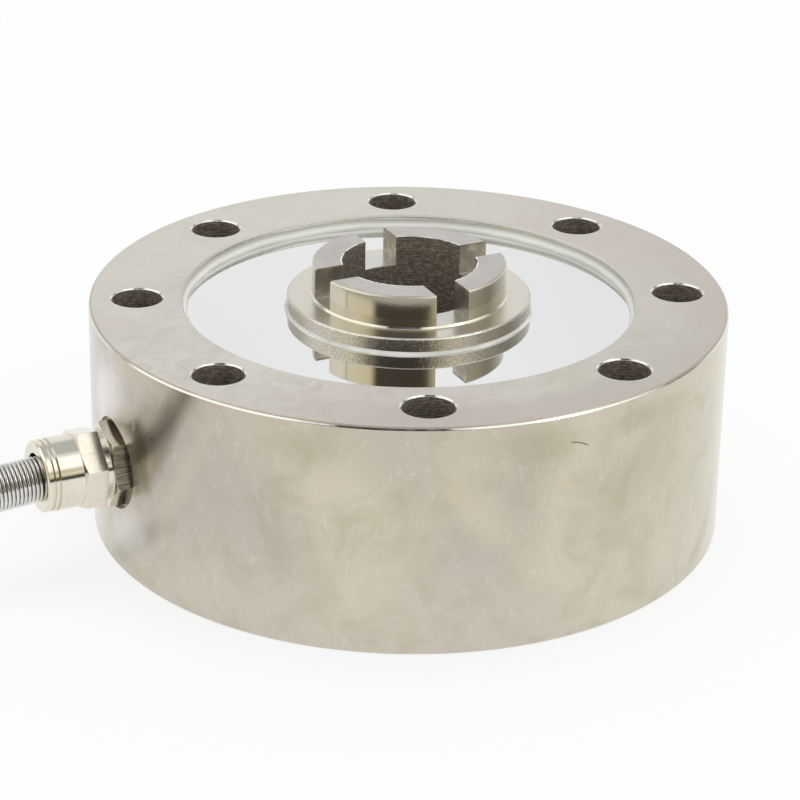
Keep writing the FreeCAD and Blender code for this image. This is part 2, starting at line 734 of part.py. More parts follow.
def bridge_harness():
    """Return the laced wires: a ring over the spokes, a drop to each gauge, and two ends to the board."""
    height = SPOKE_TOP + HARNESS_DIA / 2
    first = math.radians(180 - HARNESS_OPEN_ANGLE)
    ends = [V(SPOKE_MIDDLE * math.cos(a), SPOKE_MIDDLE * math.sin(a), height) for a in (first, -first)]
    ring = tube([Part.Arc(ends[0], V(SPOKE_MIDDLE, 0, height), ends[1]).toShape()], HARNESS_DIA)
    pins = terminal_places(MID_HEIGHT + TERMINAL_ROW_SPREAD)
    tips = [pins[-1] + V(-TERMINAL_LENGTH, 0, 0), pins[0] + V(-TERMINAL_LENGTH, 0, 0)]
    branches = [tube([Part.LineSegment(end, tip).toShape()], WIRE_DIA) for end, tip in zip(ends, tips)]
    offset = SPOKE_WIDTH / 2 + GAUGE_THICKNESS + WIRE_DIA / 2
    along = math.sqrt(SPOKE_MIDDLE ** 2 - offset ** 2)
    gauge_top = MID_HEIGHT + GAUGE_HEIGHT / 4
    drop = Part.makeCylinder(WIRE_DIA / 2, height - gauge_top, V(along, offset, gauge_top))
    branches += [spoke_side(drop, number) for number in range(2 * SPOKE_COUNT)]
    return ring.fuse(branches).cut(solder_terminals())


def main():
    os.makedirs("parts", exist_ok=True)
    save("elastic_body", elastic_body())
    for name, make in (("cover", cover), ("outer_seal", outer_seal), ("inner_seal", inner_seal)):
        save("top_" + name, make())
        save("bottom_" + name, mirrored(make()))
    for number in range(2 * SPOKE_COUNT):
        save("shear_gauge_" + str(number + 1), shear_gauge(number))
    for make in (terminal_board, solder_terminals, trim_resistors, core_wires, bridge_harness,
                 gland_washer, gland_body, gland_cap, gland_grommet, clamp_ring,
                 relief_spring, cable_lead, cable_coil, cable_tie, cable_tail):
        save(make.__name__, make())
    for name, lay_angle, spread in LEADS:
        save(name, bare_lead(lay_angle, spread))
    print("lead's radii", [round(radius, 1) for radius in lead_route()[1]])
    print("tail's radii", [round(radius, 1) for radius in tail_route()[1]])


main()
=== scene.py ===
import math

import bpy
import numpy as np
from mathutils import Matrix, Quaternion, Vector


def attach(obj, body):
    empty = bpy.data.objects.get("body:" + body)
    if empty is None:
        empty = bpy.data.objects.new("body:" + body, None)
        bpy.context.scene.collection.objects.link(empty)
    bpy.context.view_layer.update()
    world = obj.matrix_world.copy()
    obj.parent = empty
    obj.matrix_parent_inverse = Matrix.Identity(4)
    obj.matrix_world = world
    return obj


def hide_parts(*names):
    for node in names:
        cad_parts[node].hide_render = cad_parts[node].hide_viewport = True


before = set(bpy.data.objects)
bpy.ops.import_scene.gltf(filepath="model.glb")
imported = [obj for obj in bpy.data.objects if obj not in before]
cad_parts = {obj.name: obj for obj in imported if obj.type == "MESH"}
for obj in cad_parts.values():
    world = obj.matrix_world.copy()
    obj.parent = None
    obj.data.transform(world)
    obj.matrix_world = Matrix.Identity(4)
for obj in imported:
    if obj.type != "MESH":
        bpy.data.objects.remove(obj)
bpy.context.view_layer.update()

MM = 0.001


# The machined body: one piece of alloy steel, turned and milled, then nickel plated. The plating is
# brightest on the hub, and the ring is clouded, darker towards the front and the right. Its bores keep a
# dark, rough skin. Its paler edges, the glints and the gland's reflection on its side are painted light.

class Wire:
    """An output socket of a node tree. Arithmetic on wires and numbers adds Math nodes to the tree."""

    def __init__(self, tree, socket=None):
        self.tree = tree
        self.socket = socket

    def node(self, kind, settings=None, inputs=None, output=0):
        """Add a node: its settings are set first, then its sockets get their values or links."""
        made = self.tree.nodes.new("ShaderNode" + kind)
        for name, value in (settings or {}).items():
            if name == "stops":
                set_stops(made.color_ramp, value)
            else:
                setattr(made, name, value)
        for name, value in (inputs or {}).items():
            if isinstance(value, Wire):
                self.tree.links.new(value.socket, made.inputs[name])
            else:
                made.inputs[name].default_value = value
        return Wire(self.tree, made.outputs[output] if made.outputs else None)

    def out(self, name):
        """Return another output of the same node."""
        return Wire(self.tree, self.socket.node.outputs[name])

    def math(self, operation, *others):
        """Add a Math node on this number and the others."""
        return self.node("Math", {"operation": operation}, dict(enumerate((self,) + others)))

    def __add__(self, other):
        return self.math("ADD", other)

    def __mul__(self, other):
        return self.math("MULTIPLY", other)

    def __sub__(self, other):
        return self.math("SUBTRACT", other)

    def __rsub__(self, other):
        return self.node("Math", {"operation": "SUBTRACT"}, {0: other, 1: self})

    def __truediv__(self, other):
        return self.math("DIVIDE", other)

    def __pow__(self, other):
        return self.math("POWER", other)

    __radd__ = __add__
    __rmul__ = __mul__

    def step(self, low, high):
        """Return 0 below low, 1 above high, and a smooth rise between; high may be the lower one."""
        ends = {"Value": self, "From Min": low, "From Max": high}
        return self.node("MapRange", {"interpolation_type": "SMOOTHSTEP"}, ends)

    def stretched(self, x, y, z):
        """Return a vector with its parts multiplied."""
        return self.node("VectorMath", {"operation": "MULTIPLY"}, {0: self, 1: (x, y, z)})

    def noise(self, scale, detail=3.0, roughness=0.5, curl=0.0):
        """Return smooth noise from 0 to 1 over this vector, with about scale bumps a metre."""
        return self.node("TexNoise", {}, {
            "Vector": self, "Scale": scale, "Detail": detail, "Roughness": roughness, "Distortion": curl,
        })

    def within(self, low, high, soft):
        """Return 1 between low and high and 0 outside, with soft sides."""
        return self.step(low - soft, low + soft) * self.step(high + soft, high - soft)

    def parts(self):
        """Return the three parts of this vector."""
        split = self.node("SeparateXYZ", {}, {0: self})
        return split, split.out("Y"), split.out("Z")

    def between(self, first, second):
        """Return the first number where this is 0 and the second where it is 1."""
        return self * (second - first) + first

    def mixed(self, first, second):
        """Return the first colour where this is 0 and the second where it is 1."""
        return self.node("Mix", {"data_type": "RGBA"}, {0: self, 6: first, 7: second}, output=2)

    def ramp(self, *stops):
        """Return the colour at this place on a ramp of (place, colour) stops."""
        return self.node("ValToRGB", {"stops": stops}, {"Fac": self})

    def bump(self, strength, distance, normal=None):
        """Return a normal bent by this height."""
        return self.node("Bump", {}, {
            "Strength": strength, "Distance": distance, "Height": self, "Normal": normal or (0, 0, 0),
        })


def set_stops(ramp, stops):
    """Give a colour ramp its stops, as (place, colour) pairs."""
    while len(ramp.elements) > len(stops):
        ramp.elements.remove(ramp.elements[-1])
    while len(ramp.elements) < len(stops):
        ramp.elements.new(1.0)
    for element, (place, colour) in zip(ramp.elements, stops):
        element.position = place
        element.color = (*colour[:3], 1.0)


def material(name, recipe):
    """Make a material. The recipe gets the Object coordinates and returns the shader's sockets."""
    made = bpy.data.materials.new(name)
    made.use_nodes = True
    tree = made.node_tree
    tree.nodes.clear()
    place = Wire(tree).node("TexCoord").out("Object")
    sockets = recipe(place)
    shader = place.node("BsdfPrincipled", {}, sockets)
    place.node("OutputMaterial", {}, {"Surface": shader})
    return made


def dress(names, finish):
    """Give CAD nodes a material."""
    for name in names:
        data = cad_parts[name].data
        data.materials.clear()
        data.materials.append(finish)


RING_SHELL = (0.680, 0.650, 0.590, 1)
RING_BLUSH = (0.655, 0.605, 0.565, 1)
RING_REED = (0.640, 0.625, 0.540, 1)
RING_DARKER = (0.520, 0.480, 0.425, 1)
SIDE_LILAC = (0.520, 0.475, 0.415, 1)
SIDE_SHELL = (0.570, 0.525, 0.425, 1)
SIDE_STRAW = (0.640, 0.585, 0.460, 1)
SIDE_PALE = (0.660, 0.615, 0.520, 1)
SIDE_REED = (0.595, 0.565, 0.450, 1)
SIDE_OLIVE = (0.420, 0.385, 0.270, 1)
SIDE_UMBER = (0.165, 0.130, 0.090, 1)
SIDE_MOSS = (0.300, 0.280, 0.215, 1)
SIDE_CHALK = (0.900, 0.885, 0.850, 1)
SIDE_TAN = (0.270, 0.215, 0.130, 1)
SIDE_AMBER = (0.660, 0.540, 0.340, 1)
HUB_STRAW = (0.730, 0.685, 0.575, 1)
CROWN_DULL = (0.465, 0.440, 0.405, 1)
CROWN_PALE = (0.550, 0.525, 0.485, 1)
BORE_BROWN = (0.250, 0.218, 0.176, 1)
BORE_GREY = (0.600, 0.550, 0.465, 1)
BORE_EDGE_GLINT = (0.960, 0.950, 0.910, 1)
SLOT_GREY = (0.440, 0.415, 0.350, 1)
SLOT_FLOOR = (0.660, 0.655, 0.620, 1)
FLANGE_GREY = (0.685, 0.660, 0.585, 1)
EDGE_HIGHLIGHT = (0.770, 0.750, 0.700, 1)
BODY_RADIUS = 55.0 * MM
BODY_HEIGHT = 40.2 * MM
BORE_RADIUS = 11.6 * MM
CROWN_RADIUS = 16.7 * MM
CROWN_TOP = 46.55 * MM
SLOT_HALF_WIDTH = 3.0 * MM
FLANGE_RADIUS = 21.0 * MM
FLANGE_TOP = 40.8 * MM
BOLT_RING_RADIUS = 46.7 * MM
BOLT_HOLE_RADIUS = 4.3 * MM
BOLT_COUNT = 8
EDGE_WIDTH = 0.45 * MM
SHINE_WIDTH = 0.24 * MM
RIM_WIDTH = 0.40 * MM
POCKET_RADIUS = 39.0 * MM
LIP_WIDTH = 0.33 * MM
CORNER_HEIGHT = 0.32 * MM
BORE_RIM_WIDTH = 0.28 * MM
ROUNDING = 0.16 * MM
TOOL_PITCH = 0.5 * MM
GLAND_HEIGHT = 19.0 * MM
GLAND_ARC = 86.4 * MM
GLAND_HALO = 30.0 * MM
NICK_PLACE = (3.1 * MM, 34.9 * MM)
NICK_LENGTH = 1.6 * MM
NICK_WIDTH = 0.12 * MM

# Level directions out from the axis: to the side that the photograph shows, and round to its right.
FRONT = (-0.45, -0.89)
RIGHT_FRONT = (0.45, -0.89)
RIGHT = (0.93, -0.37)

# Each patch has a colour and a strength, and then, in millimetres, its place round the side from the
# front, its height, how far it leans, and half its width and height. Most are stains; some are painted
# reflection and highlight, as marked.
SIDE_STAINS_AND_REFLECTIONS = (
    # Painted reflection: two dark smears of the gland on the side beside it.
    (SIDE_UMBER, 0.38, -69.5, 30.0, 0.50, 2.4, 12.0),
    (SIDE_UMBER, 0.15, -71.0, 33.0, 0.00, 4.5, 4.0),
    (SIDE_MOSS, 0.60, -78.5, 7.5, 1.20, 3.6, 8.0),
    # Painted highlight: a pale patch at the side's left edge, above the gland.
    (SIDE_CHALK, 0.62, -89.0, 31.0, 0.50, 6.5, 7.0),
    (SIDE_CHALK, 0.35, -81.0, 8.0, 0.50, 6.0, 4.5),
    # Painted reflection: a tan streak of the gland's hex beside it.
    (SIDE_TAN, 0.60, -75.3, 24.0, -0.20, 1.7, 5.5),
    # Painted highlight: a small glint by the hex's corner.
    (SIDE_CHALK, 0.90, -78.0, 29.0, 0.20, 0.5, 0.9),
    (SIDE_STRAW, 0.50, -65.0, 24.0, 0.50, 2.2, 12.0),
    (SIDE_OLIVE, 0.40, -42.0, 35.0, 0.30, 6.0, 3.5),
    (SIDE_AMBER, 0.38, -17.5, 28.5, -0.40, 2.4, 2.8),
    (SIDE_STRAW, 0.60, -14.0, 25.0, -0.60, 3.5, 6.0),
    (SIDE_OLIVE, 0.45, -4.0, 36.0, -0.30, 8.0, 3.0),
    (SIDE_AMBER, 0.40, 0.4, 28.0, 0.00, 1.6, 0.8),
    (SIDE_OLIVE, 0.35, 12.0, 25.0, 0.50, 6.5, 6.0),
    (SIDE_OLIVE, 0.35, 18.5, 36.0, -1.00, 8.0, 2.4),
    (SIDE_OLIVE, 0.40, 38.0, 5.0, 1.00, 3.4, 4.0),
    (SIDE_MOSS, 0.12, -30.6, 2.2, 0.50, 1.3, 0.7),
    (SIDE_MOSS, 0.10, -22.4, 2.6, -0.50, 1.5, 0.6),
)


def towards(x, y, way):
    """Return how far a place lies along a level direction."""
    return x * way[0] + y * way[1]


def ring_tint(place, x, y, radius):
    """The ground top: blush and reed-green blots on pale grey, darker towards the front and the right."""
    tint = place.noise(26, 4.0, 0.6, 0.5).ramp((0.38, RING_BLUSH), (0.50, RING_SHELL), (0.62, RING_REED))
    darker_part = towards(x, y, RIGHT_FRONT).step(-5 * MM, 30 * MM) * radius.step(42 * MM, 50 * MM)
    darker_part = darker_part.math("MAXIMUM", towards(x, y, RIGHT).step(-10 * MM, 60 * MM) * 0.8)
    tint = (darker_part * (0.5 + 0.6 * place.noise(60, 2.0))).mixed(tint, RING_DARKER)
    share = 0.20 + 0.40 * towards(x, y, FRONT).step(-10 * MM, 40 * MM)
    return (place.noise(230, 4.0, 0.65, 0.8).step(0.35, 0.72) * share).mixed(tint, RING_DARKER)


def side_tint(place, around, z):
    """The turned side: broad soft clouds from lilac to straw and reed, painted light low down, then
    stains, painted reflections of the gland, painted highlights and one nick.
    """
    tint = place.noise(24, 2.0, 0.5, 0.4) + around * 1.1
    tint = tint.ramp((0.36, SIDE_LILAC), (0.46, SIDE_SHELL), (0.53, SIDE_STRAW), (0.64, SIDE_REED))
    # Painted light: lighter towards the bottom, for the bright floor that the side reflects.
    tint = (z.step(24 * MM, 2 * MM) * 0.6).mixed(tint, SIDE_PALE)
    tint = (place.noise(110, 4.0, 0.6, 0.8).step(0.42, 0.75) * 0.40).mixed(tint, SIDE_OLIVE)
    tint = (place.noise(330, 5.0, 0.7, 1.5).step(0.50, 0.80) * 0.45).mixed(tint, SIDE_PALE)
    # Pale flecks: fine scratches, with painted glints on them.
    flecks = place.stretched(1, 1, 0.4).noise(800, 3.0, 0.7, 0.6).step(0.58, 0.74)
    tint = (flecks * 0.18).mixed(tint, SIDE_CHALK)
    ragged = place.noise(170, 3.0, 0.6) * 1.2 - 0.6
    for colour, strength, at, up, lean, wide, tall in SIDE_STAINS_AND_REFLECTIONS:
        level = z - up * MM
        beside = (around - at * MM - lean * level) / (wide * MM)
        level = level / (tall * MM)
        away = (beside * beside + level * level) ** 0.5 + ragged
        tint = (away.step(1.5, 0.3) * strength).mixed(tint, colour)
    along = around - NICK_PLACE[0]
    across = z - NICK_PLACE[1] + along * along * 90 + along * 0.35
    nick = across.within(-NICK_WIDTH, NICK_WIDTH, 0.06 * MM)
    nick = nick * along.within(-NICK_LENGTH, NICK_LENGTH, 0.3 * MM)
    return (nick * 0.85).mixed(tint, SIDE_UMBER)


def hub_tint(place, on, mottle, speckle):
    """The bright hub: straw where it is turned, and greyer on its flange, its crown and in the slots."""
    crown = place.noise(160, 4.0, 0.6).step(0.3, 0.7).mixed(CROWN_DULL, CROWN_PALE)
    tint = on["flange"].math("MAXIMUM", on["rim"]).mixed(HUB_STRAW, FLANGE_GREY)
    tint = on["crown"].mixed(tint, crown)
    tint = on["slot_floor"].mixed(tint, SLOT_FLOOR)
    tint = on["slot_wall"].mixed(tint, mottle.step(0.40, 0.72).mixed(SLOT_GREY, HUB_STRAW))
    return (on["rim"] * speckle.step(0.60, 0.44) * 0.55).mixed(tint, SLOT_GREY)


def from_hole(x, y, radius):
    """Return the distance from the nearest bolt hole's axis: the turn is folded into one sector."""
    sector = 2 * math.pi / BOLT_COUNT
    turn = (y.math("ARCTAN2", x) / sector).math("FRACT") * sector - sector / 2
    along = radius * turn.math("COSINE") - BOLT_RING_RADIUS
    across = radius * turn.math("SINE")
    return (along * along + across * across) ** 0.5


def ring_areas(z, radius, around, hole):
    """Return masks, 1 on each area of the ring: its side, its edges and the pocket's lip."""
    outer = radius.step(BODY_RADIUS - SHINE_WIDTH - 0.02 * MM, BODY_RADIUS - SHINE_WIDTH + 0.03 * MM)
    rim = hole.step(BOLT_HOLE_RADIUS + RIM_WIDTH, BOLT_HOLE_RADIUS + RIM_WIDTH - 0.06 * MM)
    at_top = z.step(BODY_HEIGHT - EDGE_WIDTH - 0.1 * MM, BODY_HEIGHT - EDGE_WIDTH)
    lip = radius.within(POCKET_RADIUS, POCKET_RADIUS + LIP_WIDTH, 0.03 * MM)
    from_gland = ((around + GLAND_ARC) ** 2 + (z - GLAND_HEIGHT) ** 2) ** 0.5
    beyond_gland = around.step(-GLAND_ARC - 5 * MM, -GLAND_ARC)
    return {
        "side": radius.step(BODY_RADIUS - 0.6 * MM, BODY_RADIUS - 0.3 * MM),
        "edge": outer.math("MAXIMUM", rim) * at_top,
        "shoulder": radius.within(BODY_RADIUS - EDGE_WIDTH, BODY_RADIUS - SHINE_WIDTH, 0.03 * MM),
        "lip": lip * z.step(BODY_HEIGHT - 1.2 * MM, BODY_HEIGHT - 0.7 * MM),
        "by_gland": from_gland.step(GLAND_HALO, 14 * MM) * beyond_gland,
    }


def hub_areas(x, y, z, radius):
    """Return masks, 1 on each area of the hub: the whole of it, its crown's parts and its flange."""
    hub = radius.step(FLANGE_RADIUS + 2 * MM, FLANGE_RADIUS + 1 * MM)
    crown = hub * z.step(CROWN_TOP - 0.12 * MM, CROWN_TOP - 0.04 * MM)
    in_crown = radius.step(CROWN_RADIUS + 0.1 * MM, CROWN_RADIUS - 0.1 * MM)
    in_crown = in_crown * z.step(FLANGE_TOP - 1.3 * MM, FLANGE_TOP - 0.8 * MM)
    from_slot = x.math("ABSOLUTE").math("MINIMUM", y.math("ABSOLUTE"))
    wall = from_slot.within(SLOT_HALF_WIDTH - 0.03 * MM, SLOT_HALF_WIDTH + 0.04 * MM, 0.02 * MM)
    at_bore = radius.step(BORE_RADIUS + BORE_RIM_WIDTH, BORE_RADIUS + BORE_RIM_WIDTH - 0.08 * MM)
    return {
        "hub": hub,
        "crown": crown,
        "bore_rim": crown * at_bore,
        "corner": hub * z.within(CROWN_TOP - CORNER_HEIGHT, CROWN_TOP - 0.08 * MM, 0.04 * MM),
        "flange": hub * z.within(FLANGE_TOP - 0.10 * MM, FLANGE_TOP + 0.08 * MM, 0.04 * MM),
        "rim": hub * radius.step(FLANGE_RADIUS - 0.4 * MM, FLANGE_RADIUS - 0.1 * MM),
        "slot_floor": in_crown * from_slot.step(SLOT_HALF_WIDTH, SLOT_HALF_WIDTH - 0.05 * MM),
        "slot_wall": in_crown * wall,
    }


def bored_area(radius, hole):
    """Return the mask of all the bores' walls: the eight bolt holes and the one through the hub."""
    in_hole = hole.step(BOLT_HOLE_RADIUS + 0.06 * MM, BOLT_HOLE_RADIUS + 0.02 * MM)
    in_bore = radius.step(BORE_RADIUS + 0.20 * MM, BORE_RADIUS + 0.04 * MM)
    return in_hole.math("MAXIMUM", in_bore)


def body_roughness(place, on, inside, grain, mottle, tool_marks):
    """Smooth on the polished edges and the hub, duller on faces and corners, and dull in the bores."""
    rough = 0.20 + 0.10 * place.noise(80, 3.0) + 0.05 * grain
    rough = on["side"].between(rough, 0.11 + 0.08 * grain + 0.14 * on["by_gland"])
    rough = on["edge"].between(rough, 0.06 + 0.14 * mottle.step(0.45, 0.7))
    rough = on["hub"].between(rough, 0.06 + 0.05 * grain)
    rough = rough + 0.12 * on["crown"] + 0.20 * on["flange"] + 0.06 * on["rim"]
    rough = rough + 0.36 * on["slot_wall"] + 0.20 * on["slot_floor"]
    rough = rough + 0.35 * on["corner"].math("MAXIMUM", on["lip"]).math("MAXIMUM", on["shoulder"])
    return inside.between(rough, 0.40 + 0.2 * tool_marks)


def machined_steel(place):
    x, y, z = place.parts()
    radius = (x * x + y * y) ** 0.5
    around = x.math("ARCTAN2", y * -1.0) * BODY_RADIUS
    hole = from_hole(x, y, radius)
    on = {**ring_areas(z, radius, around, hole), **hub_areas(x, y, z, radius)}
    inside = bored_area(radius, hole)
    grain = place.noise(1500, 3.0, 0.6)
    speckle = place.noise(3000, 2.0, 0.7)
    mottle = place.noise(500, 4.0, 0.7)
    rings = ((z + 0.3 * MM * place.noise(300)) * (2 * math.pi / TOOL_PITCH)).math("SINE")
    tool_marks = place.stretched(0.25, 0.25, 1).noise(3600, 4.0, 0.7) + 0.06 * rings
    skin = (tool_marks * 0.65 + grain * 0.35).step(0.42, 0.66).mixed(BORE_BROWN, BORE_GREY)
    tint = on["side"].mixed(ring_tint(place, x, y, radius), side_tint(place, around, z))
    # Painted highlight: the polished edges, the bolt holes' rims and the pocket's lip are paler.
    tint = on["edge"].math("MAXIMUM", on["lip"]).mixed(tint, EDGE_HIGHLIGHT)
    tint = on["hub"].mixed(tint, hub_tint(place, on, mottle, speckle))
    tint = inside.mixed(tint, skin)
    # Painted glints: white spots along the bore's top edge.
    tint = (on["bore_rim"] * mottle.step(0.42, 0.52)).mixed(tint, BORE_EDGE_GLINT)
    height = 0.4 * grain + (0.2 + 8.0 * on["rim"] + 4.0 * on["slot_wall"]) * speckle
    height = height + 8.0 * inside * tool_marks
    rounded = place.node("Bevel", {"samples": 6}, {"Radius": ROUNDING})
    return {
        "Base Color": tint,
        "Metallic": 1.0 - 0.35 * inside,
        "Roughness": body_roughness(place, on, inside, grain, mottle, tool_marks),
        "Normal": height.bump(0.35, 0.02 * MM, rounded),
    }


dress(["elastic_body"], material("machined_steel", machined_steel))


# The two cover plates: thin polished stainless discs with a mirror finish, sunk 2.2 mm into the body
# at the top and at the base. The sealant beads at their edges hold them.

MIRROR_STEEL = (0.815, 0.818, 0.822, 1)
MIRROR_SMOKE = (0.765, 0.768, 0.770, 1)


def mirror_plate(place):
    x, y, z = place.parts()
    haze = place.noise(60, 4.0, 0.6)
    smoke = (x - 0.3 * y).step(5 * MM, 38 * MM)
    return {
        "Base Color": smoke.mixed(MIRROR_STEEL, MIRROR_SMOKE), "Metallic": 1.0,
        "Roughness": 0.015 + 0.02 * haze.step(0.45, 0.75),
    }


dress(["top_cover", "bottom_cover"], material("mirror_plate", mirror_plate))


# The sealant: beads of translucent silicone in the corner between each cover and the pocket's wall,
# and round the hub's flange. They are laid with a nozzle, so that their width wanders a little.

COVER_TOP = 38.0 * MM
COVER_BOTTOM = 2.2 * MM
COVER_MIDDLE = (COVER_TOP + COVER_BOTTOM) / 2
COVER_GAP = COVER_TOP - COVER_BOTTOM
OUTER_RISE = 1.75 * MM
OUTER_FOOT = 0.9 * MM
INNER_RISE = 0.5 * MM
INNER_FOOT = 0.40 * MM
BETWEEN_BEADS = 30.0 * MM
BEAD_SINK = 0.1 * MM
BEAD_STEPS = 720
BEAD_SIDES = 14
BEAD_HOLLOW = 2.4
FOOT_WANDER = 0.16
RISE_WANDER = 0.04
SEAL_SHADE = (0.530, 0.530, 0.455, 1)
SEAL_MIST = (0.720, 0.725, 0.655, 1)
SEAL_PALE_AND_SHINE = (0.920, 0.915, 0.860, 1)


def sealant_milk(place):
    """Clear silicone: the outer bead is banded by its level with painted shade where deep and a painted
    highlight in its hollow.
    """
    x, y, z = place.parts()
    level = ((z - COVER_MIDDLE).math("ABSOLUTE") - COVER_GAP / 2) / OUTER_RISE
    level = level + (place.noise(110, 2.0) - 0.5) * 0.25
    # Painted light and shade: dark bands where the bead is deep, a bright band in its hollow.
    shaded_bands = level.ramp(
        (0.00, SEAL_SHADE), (0.28, SEAL_PALE_AND_SHINE), (0.42, SEAL_PALE_AND_SHINE), (0.60, SEAL_MIST), (0.80, SEAL_SHADE),
        (0.90, SEAL_SHADE), (0.98, SEAL_PALE_AND_SHINE),
    )
    plain = place.noise(200, 2.0).step(0.3, 0.7).mixed(SEAL_MIST, SEAL_PALE_AND_SHINE)
    colour = ((x * x + y * y) ** 0.5).step(BETWEEN_BEADS, BETWEEN_BEADS + 1 * MM).mixed(plain, shaded_bands)
    ripple = place.noise(900, 3.0)
    return {"Base Color": colour, "Roughness": 0.20, "Normal": ripple.bump(0.3, 0.05 * MM)}


def wander(turn, seed):
    """Return a smooth random course round a circle: a sum of sines of rising order and set phases."""
    orders = np.array([2, 3, 5, 8, 13, 21, 34])
    phases = np.random.default_rng(seed).uniform(0, 2 * np.pi, len(orders))
    waves = np.sin(np.outer(turn, orders) + phases) / np.sqrt(orders)
    return waves.sum(1) / np.sqrt((1 / orders).sum())


def grid_piece(name, grids, finish, closed_u=False, closed_v=False, caps=False):
    """Make a piece from grids of points, rows along u and columns along v; caps close the two ends."""
    grids = grids.reshape(-1, *grids.shape[-3:])
    index = np.arange(grids[..., 0].size).reshape(grids.shape[:3])
    lids = np.concatenate([index[:, 0], index[:, -1, ::-1]]).tolist() if caps else []
    if closed_u:
        index = np.concatenate([index, index[:, :1]], 1)
    if closed_v:
        index = np.concatenate([index, index[:, :, :1]], 2)
    corners = [index[:, :-1, :-1], index[:, 1:, :-1], index[:, 1:, 1:], index[:, :-1, 1:]]
    faces = np.stack(corners, -1).reshape(-1, 4).tolist()
    mesh = bpy.data.meshes.new(name)
    mesh.from_pydata(grids.reshape(-1, 3), [], faces + lids)
    mesh.polygons.foreach_set("use_smooth", [True] * len(mesh.polygons))
    mesh.materials.append(finish)
    piece = bpy.data.objects.new(name, mesh)
    bpy.context.scene.collection.objects.link(piece)
    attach(piece, "root")
    return piece


def bead(name, wall, inwards, plate, upwards, foot, rise, seed, node):
    """A bead: in each plane through the axis, a corner and a hollow arc, powers of sine and cosine."""
    turn = np.linspace(0, 2 * np.pi, BEAD_STEPS, endpoint=False)
    foot = foot * (1 + FOOT_WANDER * wander(turn, seed))[:, None]
    rise = rise * (1 + RISE_WANDER * wander(turn, seed + 1))[:, None]
    share = np.linspace(0, np.pi / 2, BEAD_SIDES)
    sunk = np.full_like(foot, -BEAD_SINK)
    reach = np.concatenate([foot * np.sin(share) ** BEAD_HOLLOW, sunk], 1)
    lift = np.concatenate([rise * np.cos(share) ** BEAD_HOLLOW, sunk], 1)
    radius = wall + inwards * reach
    east = radius * np.cos(turn)[:, None]
    north = radius * np.sin(turn)[:, None]
    points = np.stack([east, north, plate + upwards * lift], -1)
    if inwards * upwards > 0:
        points = points[:, ::-1]
    piece = grid_piece(name, points, SEALANT, closed_u=True, closed_v=True)
    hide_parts(node)


SEALANT = material("sealant_milk", sealant_milk)
outer = (OUTER_FOOT, OUTER_RISE)
inner = (INNER_FOOT, INNER_RISE)
bead("outer_bead_top", POCKET_RADIUS, -1, COVER_TOP, 1, *outer, 3, "top_outer_seal")
bead("inner_bead_top", FLANGE_RADIUS, 1, COVER_TOP, 1, *inner, 11, "top_inner_seal")
bead("outer_bead_bottom", POCKET_RADIUS, -1, COVER_BOTTOM, -1, *outer, 23, "bottom_outer_seal")
bead("inner_bead_bottom", FLANGE_RADIUS, 1, COVER_BOTTOM, -1, *inner, 31, "bottom_inner_seal")


# The cable gland: two brass turnings, bright nickel plated. The body screws into the ring on a fibre
# washer, and the cap nut on it squeezes a rubber grommet onto the cable through a clamp ring.

BODY_HEX_END = -57.05 * MM
BODY_HEX_FLAT = 6.35 * MM
BODY_HEX_TURN = math.radians(16.5)
CAP_HEX_END = -63.0 * MM
NICKEL = (0.790, 0.755, 0.665, 1)
NICKEL_STRAW = (0.760, 0.715, 0.585, 1)
NICKEL_GREY = (0.560, 0.535, 0.480, 1)
NICKEL_SHADE = (0.260, 0.230, 0.190, 1)
FIBRE_DARK = (0.300, 0.280, 0.220, 1)
FIBRE_PALE = (0.440, 0.410, 0.330, 1)
RUBBER_BLACK = (0.018, 0.018, 0.018, 1)
RUBBER_DUST = (0.050, 0.048, 0.045, 1)


def bright_nickel(place):
    x, y, z = place.parts()
    on_body_hex = x.step(BODY_HEX_END, BODY_HEX_END + 0.05 * MM)
    out = (z - GLAND_HEIGHT) * math.sin(BODY_HEX_TURN) - y * math.cos(BODY_HEX_TURN)
    on_shaded_flat = on_body_hex * out.step(BODY_HEX_FLAT - 0.10 * MM, BODY_HEX_FLAT - 0.04 * MM)
    on_barrel = x.step(CAP_HEX_END, CAP_HEX_END - 0.1 * MM)
    lathe = place.stretched(1, 0.02, 0.02).noise(6000, 2.0)
    milled = place.stretched(0.06, 1, 1).noise(2400, 2.0, 0.6)
    pits = place.noise(2600, 2.0)
    tint = place.noise(180, 3.0).step(0.35, 0.7).mixed(NICKEL, NICKEL_STRAW)
    tint = (milled.step(0.52, 0.72) * (0.25 - 0.25 * on_barrel)).mixed(tint, NICKEL_GREY)
    # Painted shade: the body hex's flat that faces the front is darkened, streaked along its milling.
    tint = (on_shaded_flat * (0.25 + milled.step(0.42, 0.60) * 0.60)).mixed(tint, NICKEL_SHADE)
    height = 0.4 * lathe * on_barrel + milled * (0.3 - 0.3 * on_barrel + 1.6 * on_shaded_flat) + 0.2 * pits
    rounded = place.node("Bevel", {"samples": 6}, {"Radius": 0.10 * MM})
    rough = 0.08 + 0.08 * place.noise(400, 3.0) + on_body_hex * 0.06 + on_shaded_flat * 0.12
    return {
        "Base Color": tint, "Metallic": 1.0, "Roughness": rough,
        "Normal": height.bump(0.4, 0.02 * MM, rounded),
    }


def washer_fibre(place):
    weave = place.noise(1200, 3.0, 0.6)
    colour = weave.step(0.3, 0.7).mixed(FIBRE_DARK, FIBRE_PALE)
    return {"Base Color": colour, "Roughness": 0.6, "Normal": weave.bump(0.3, 0.03 * MM)}


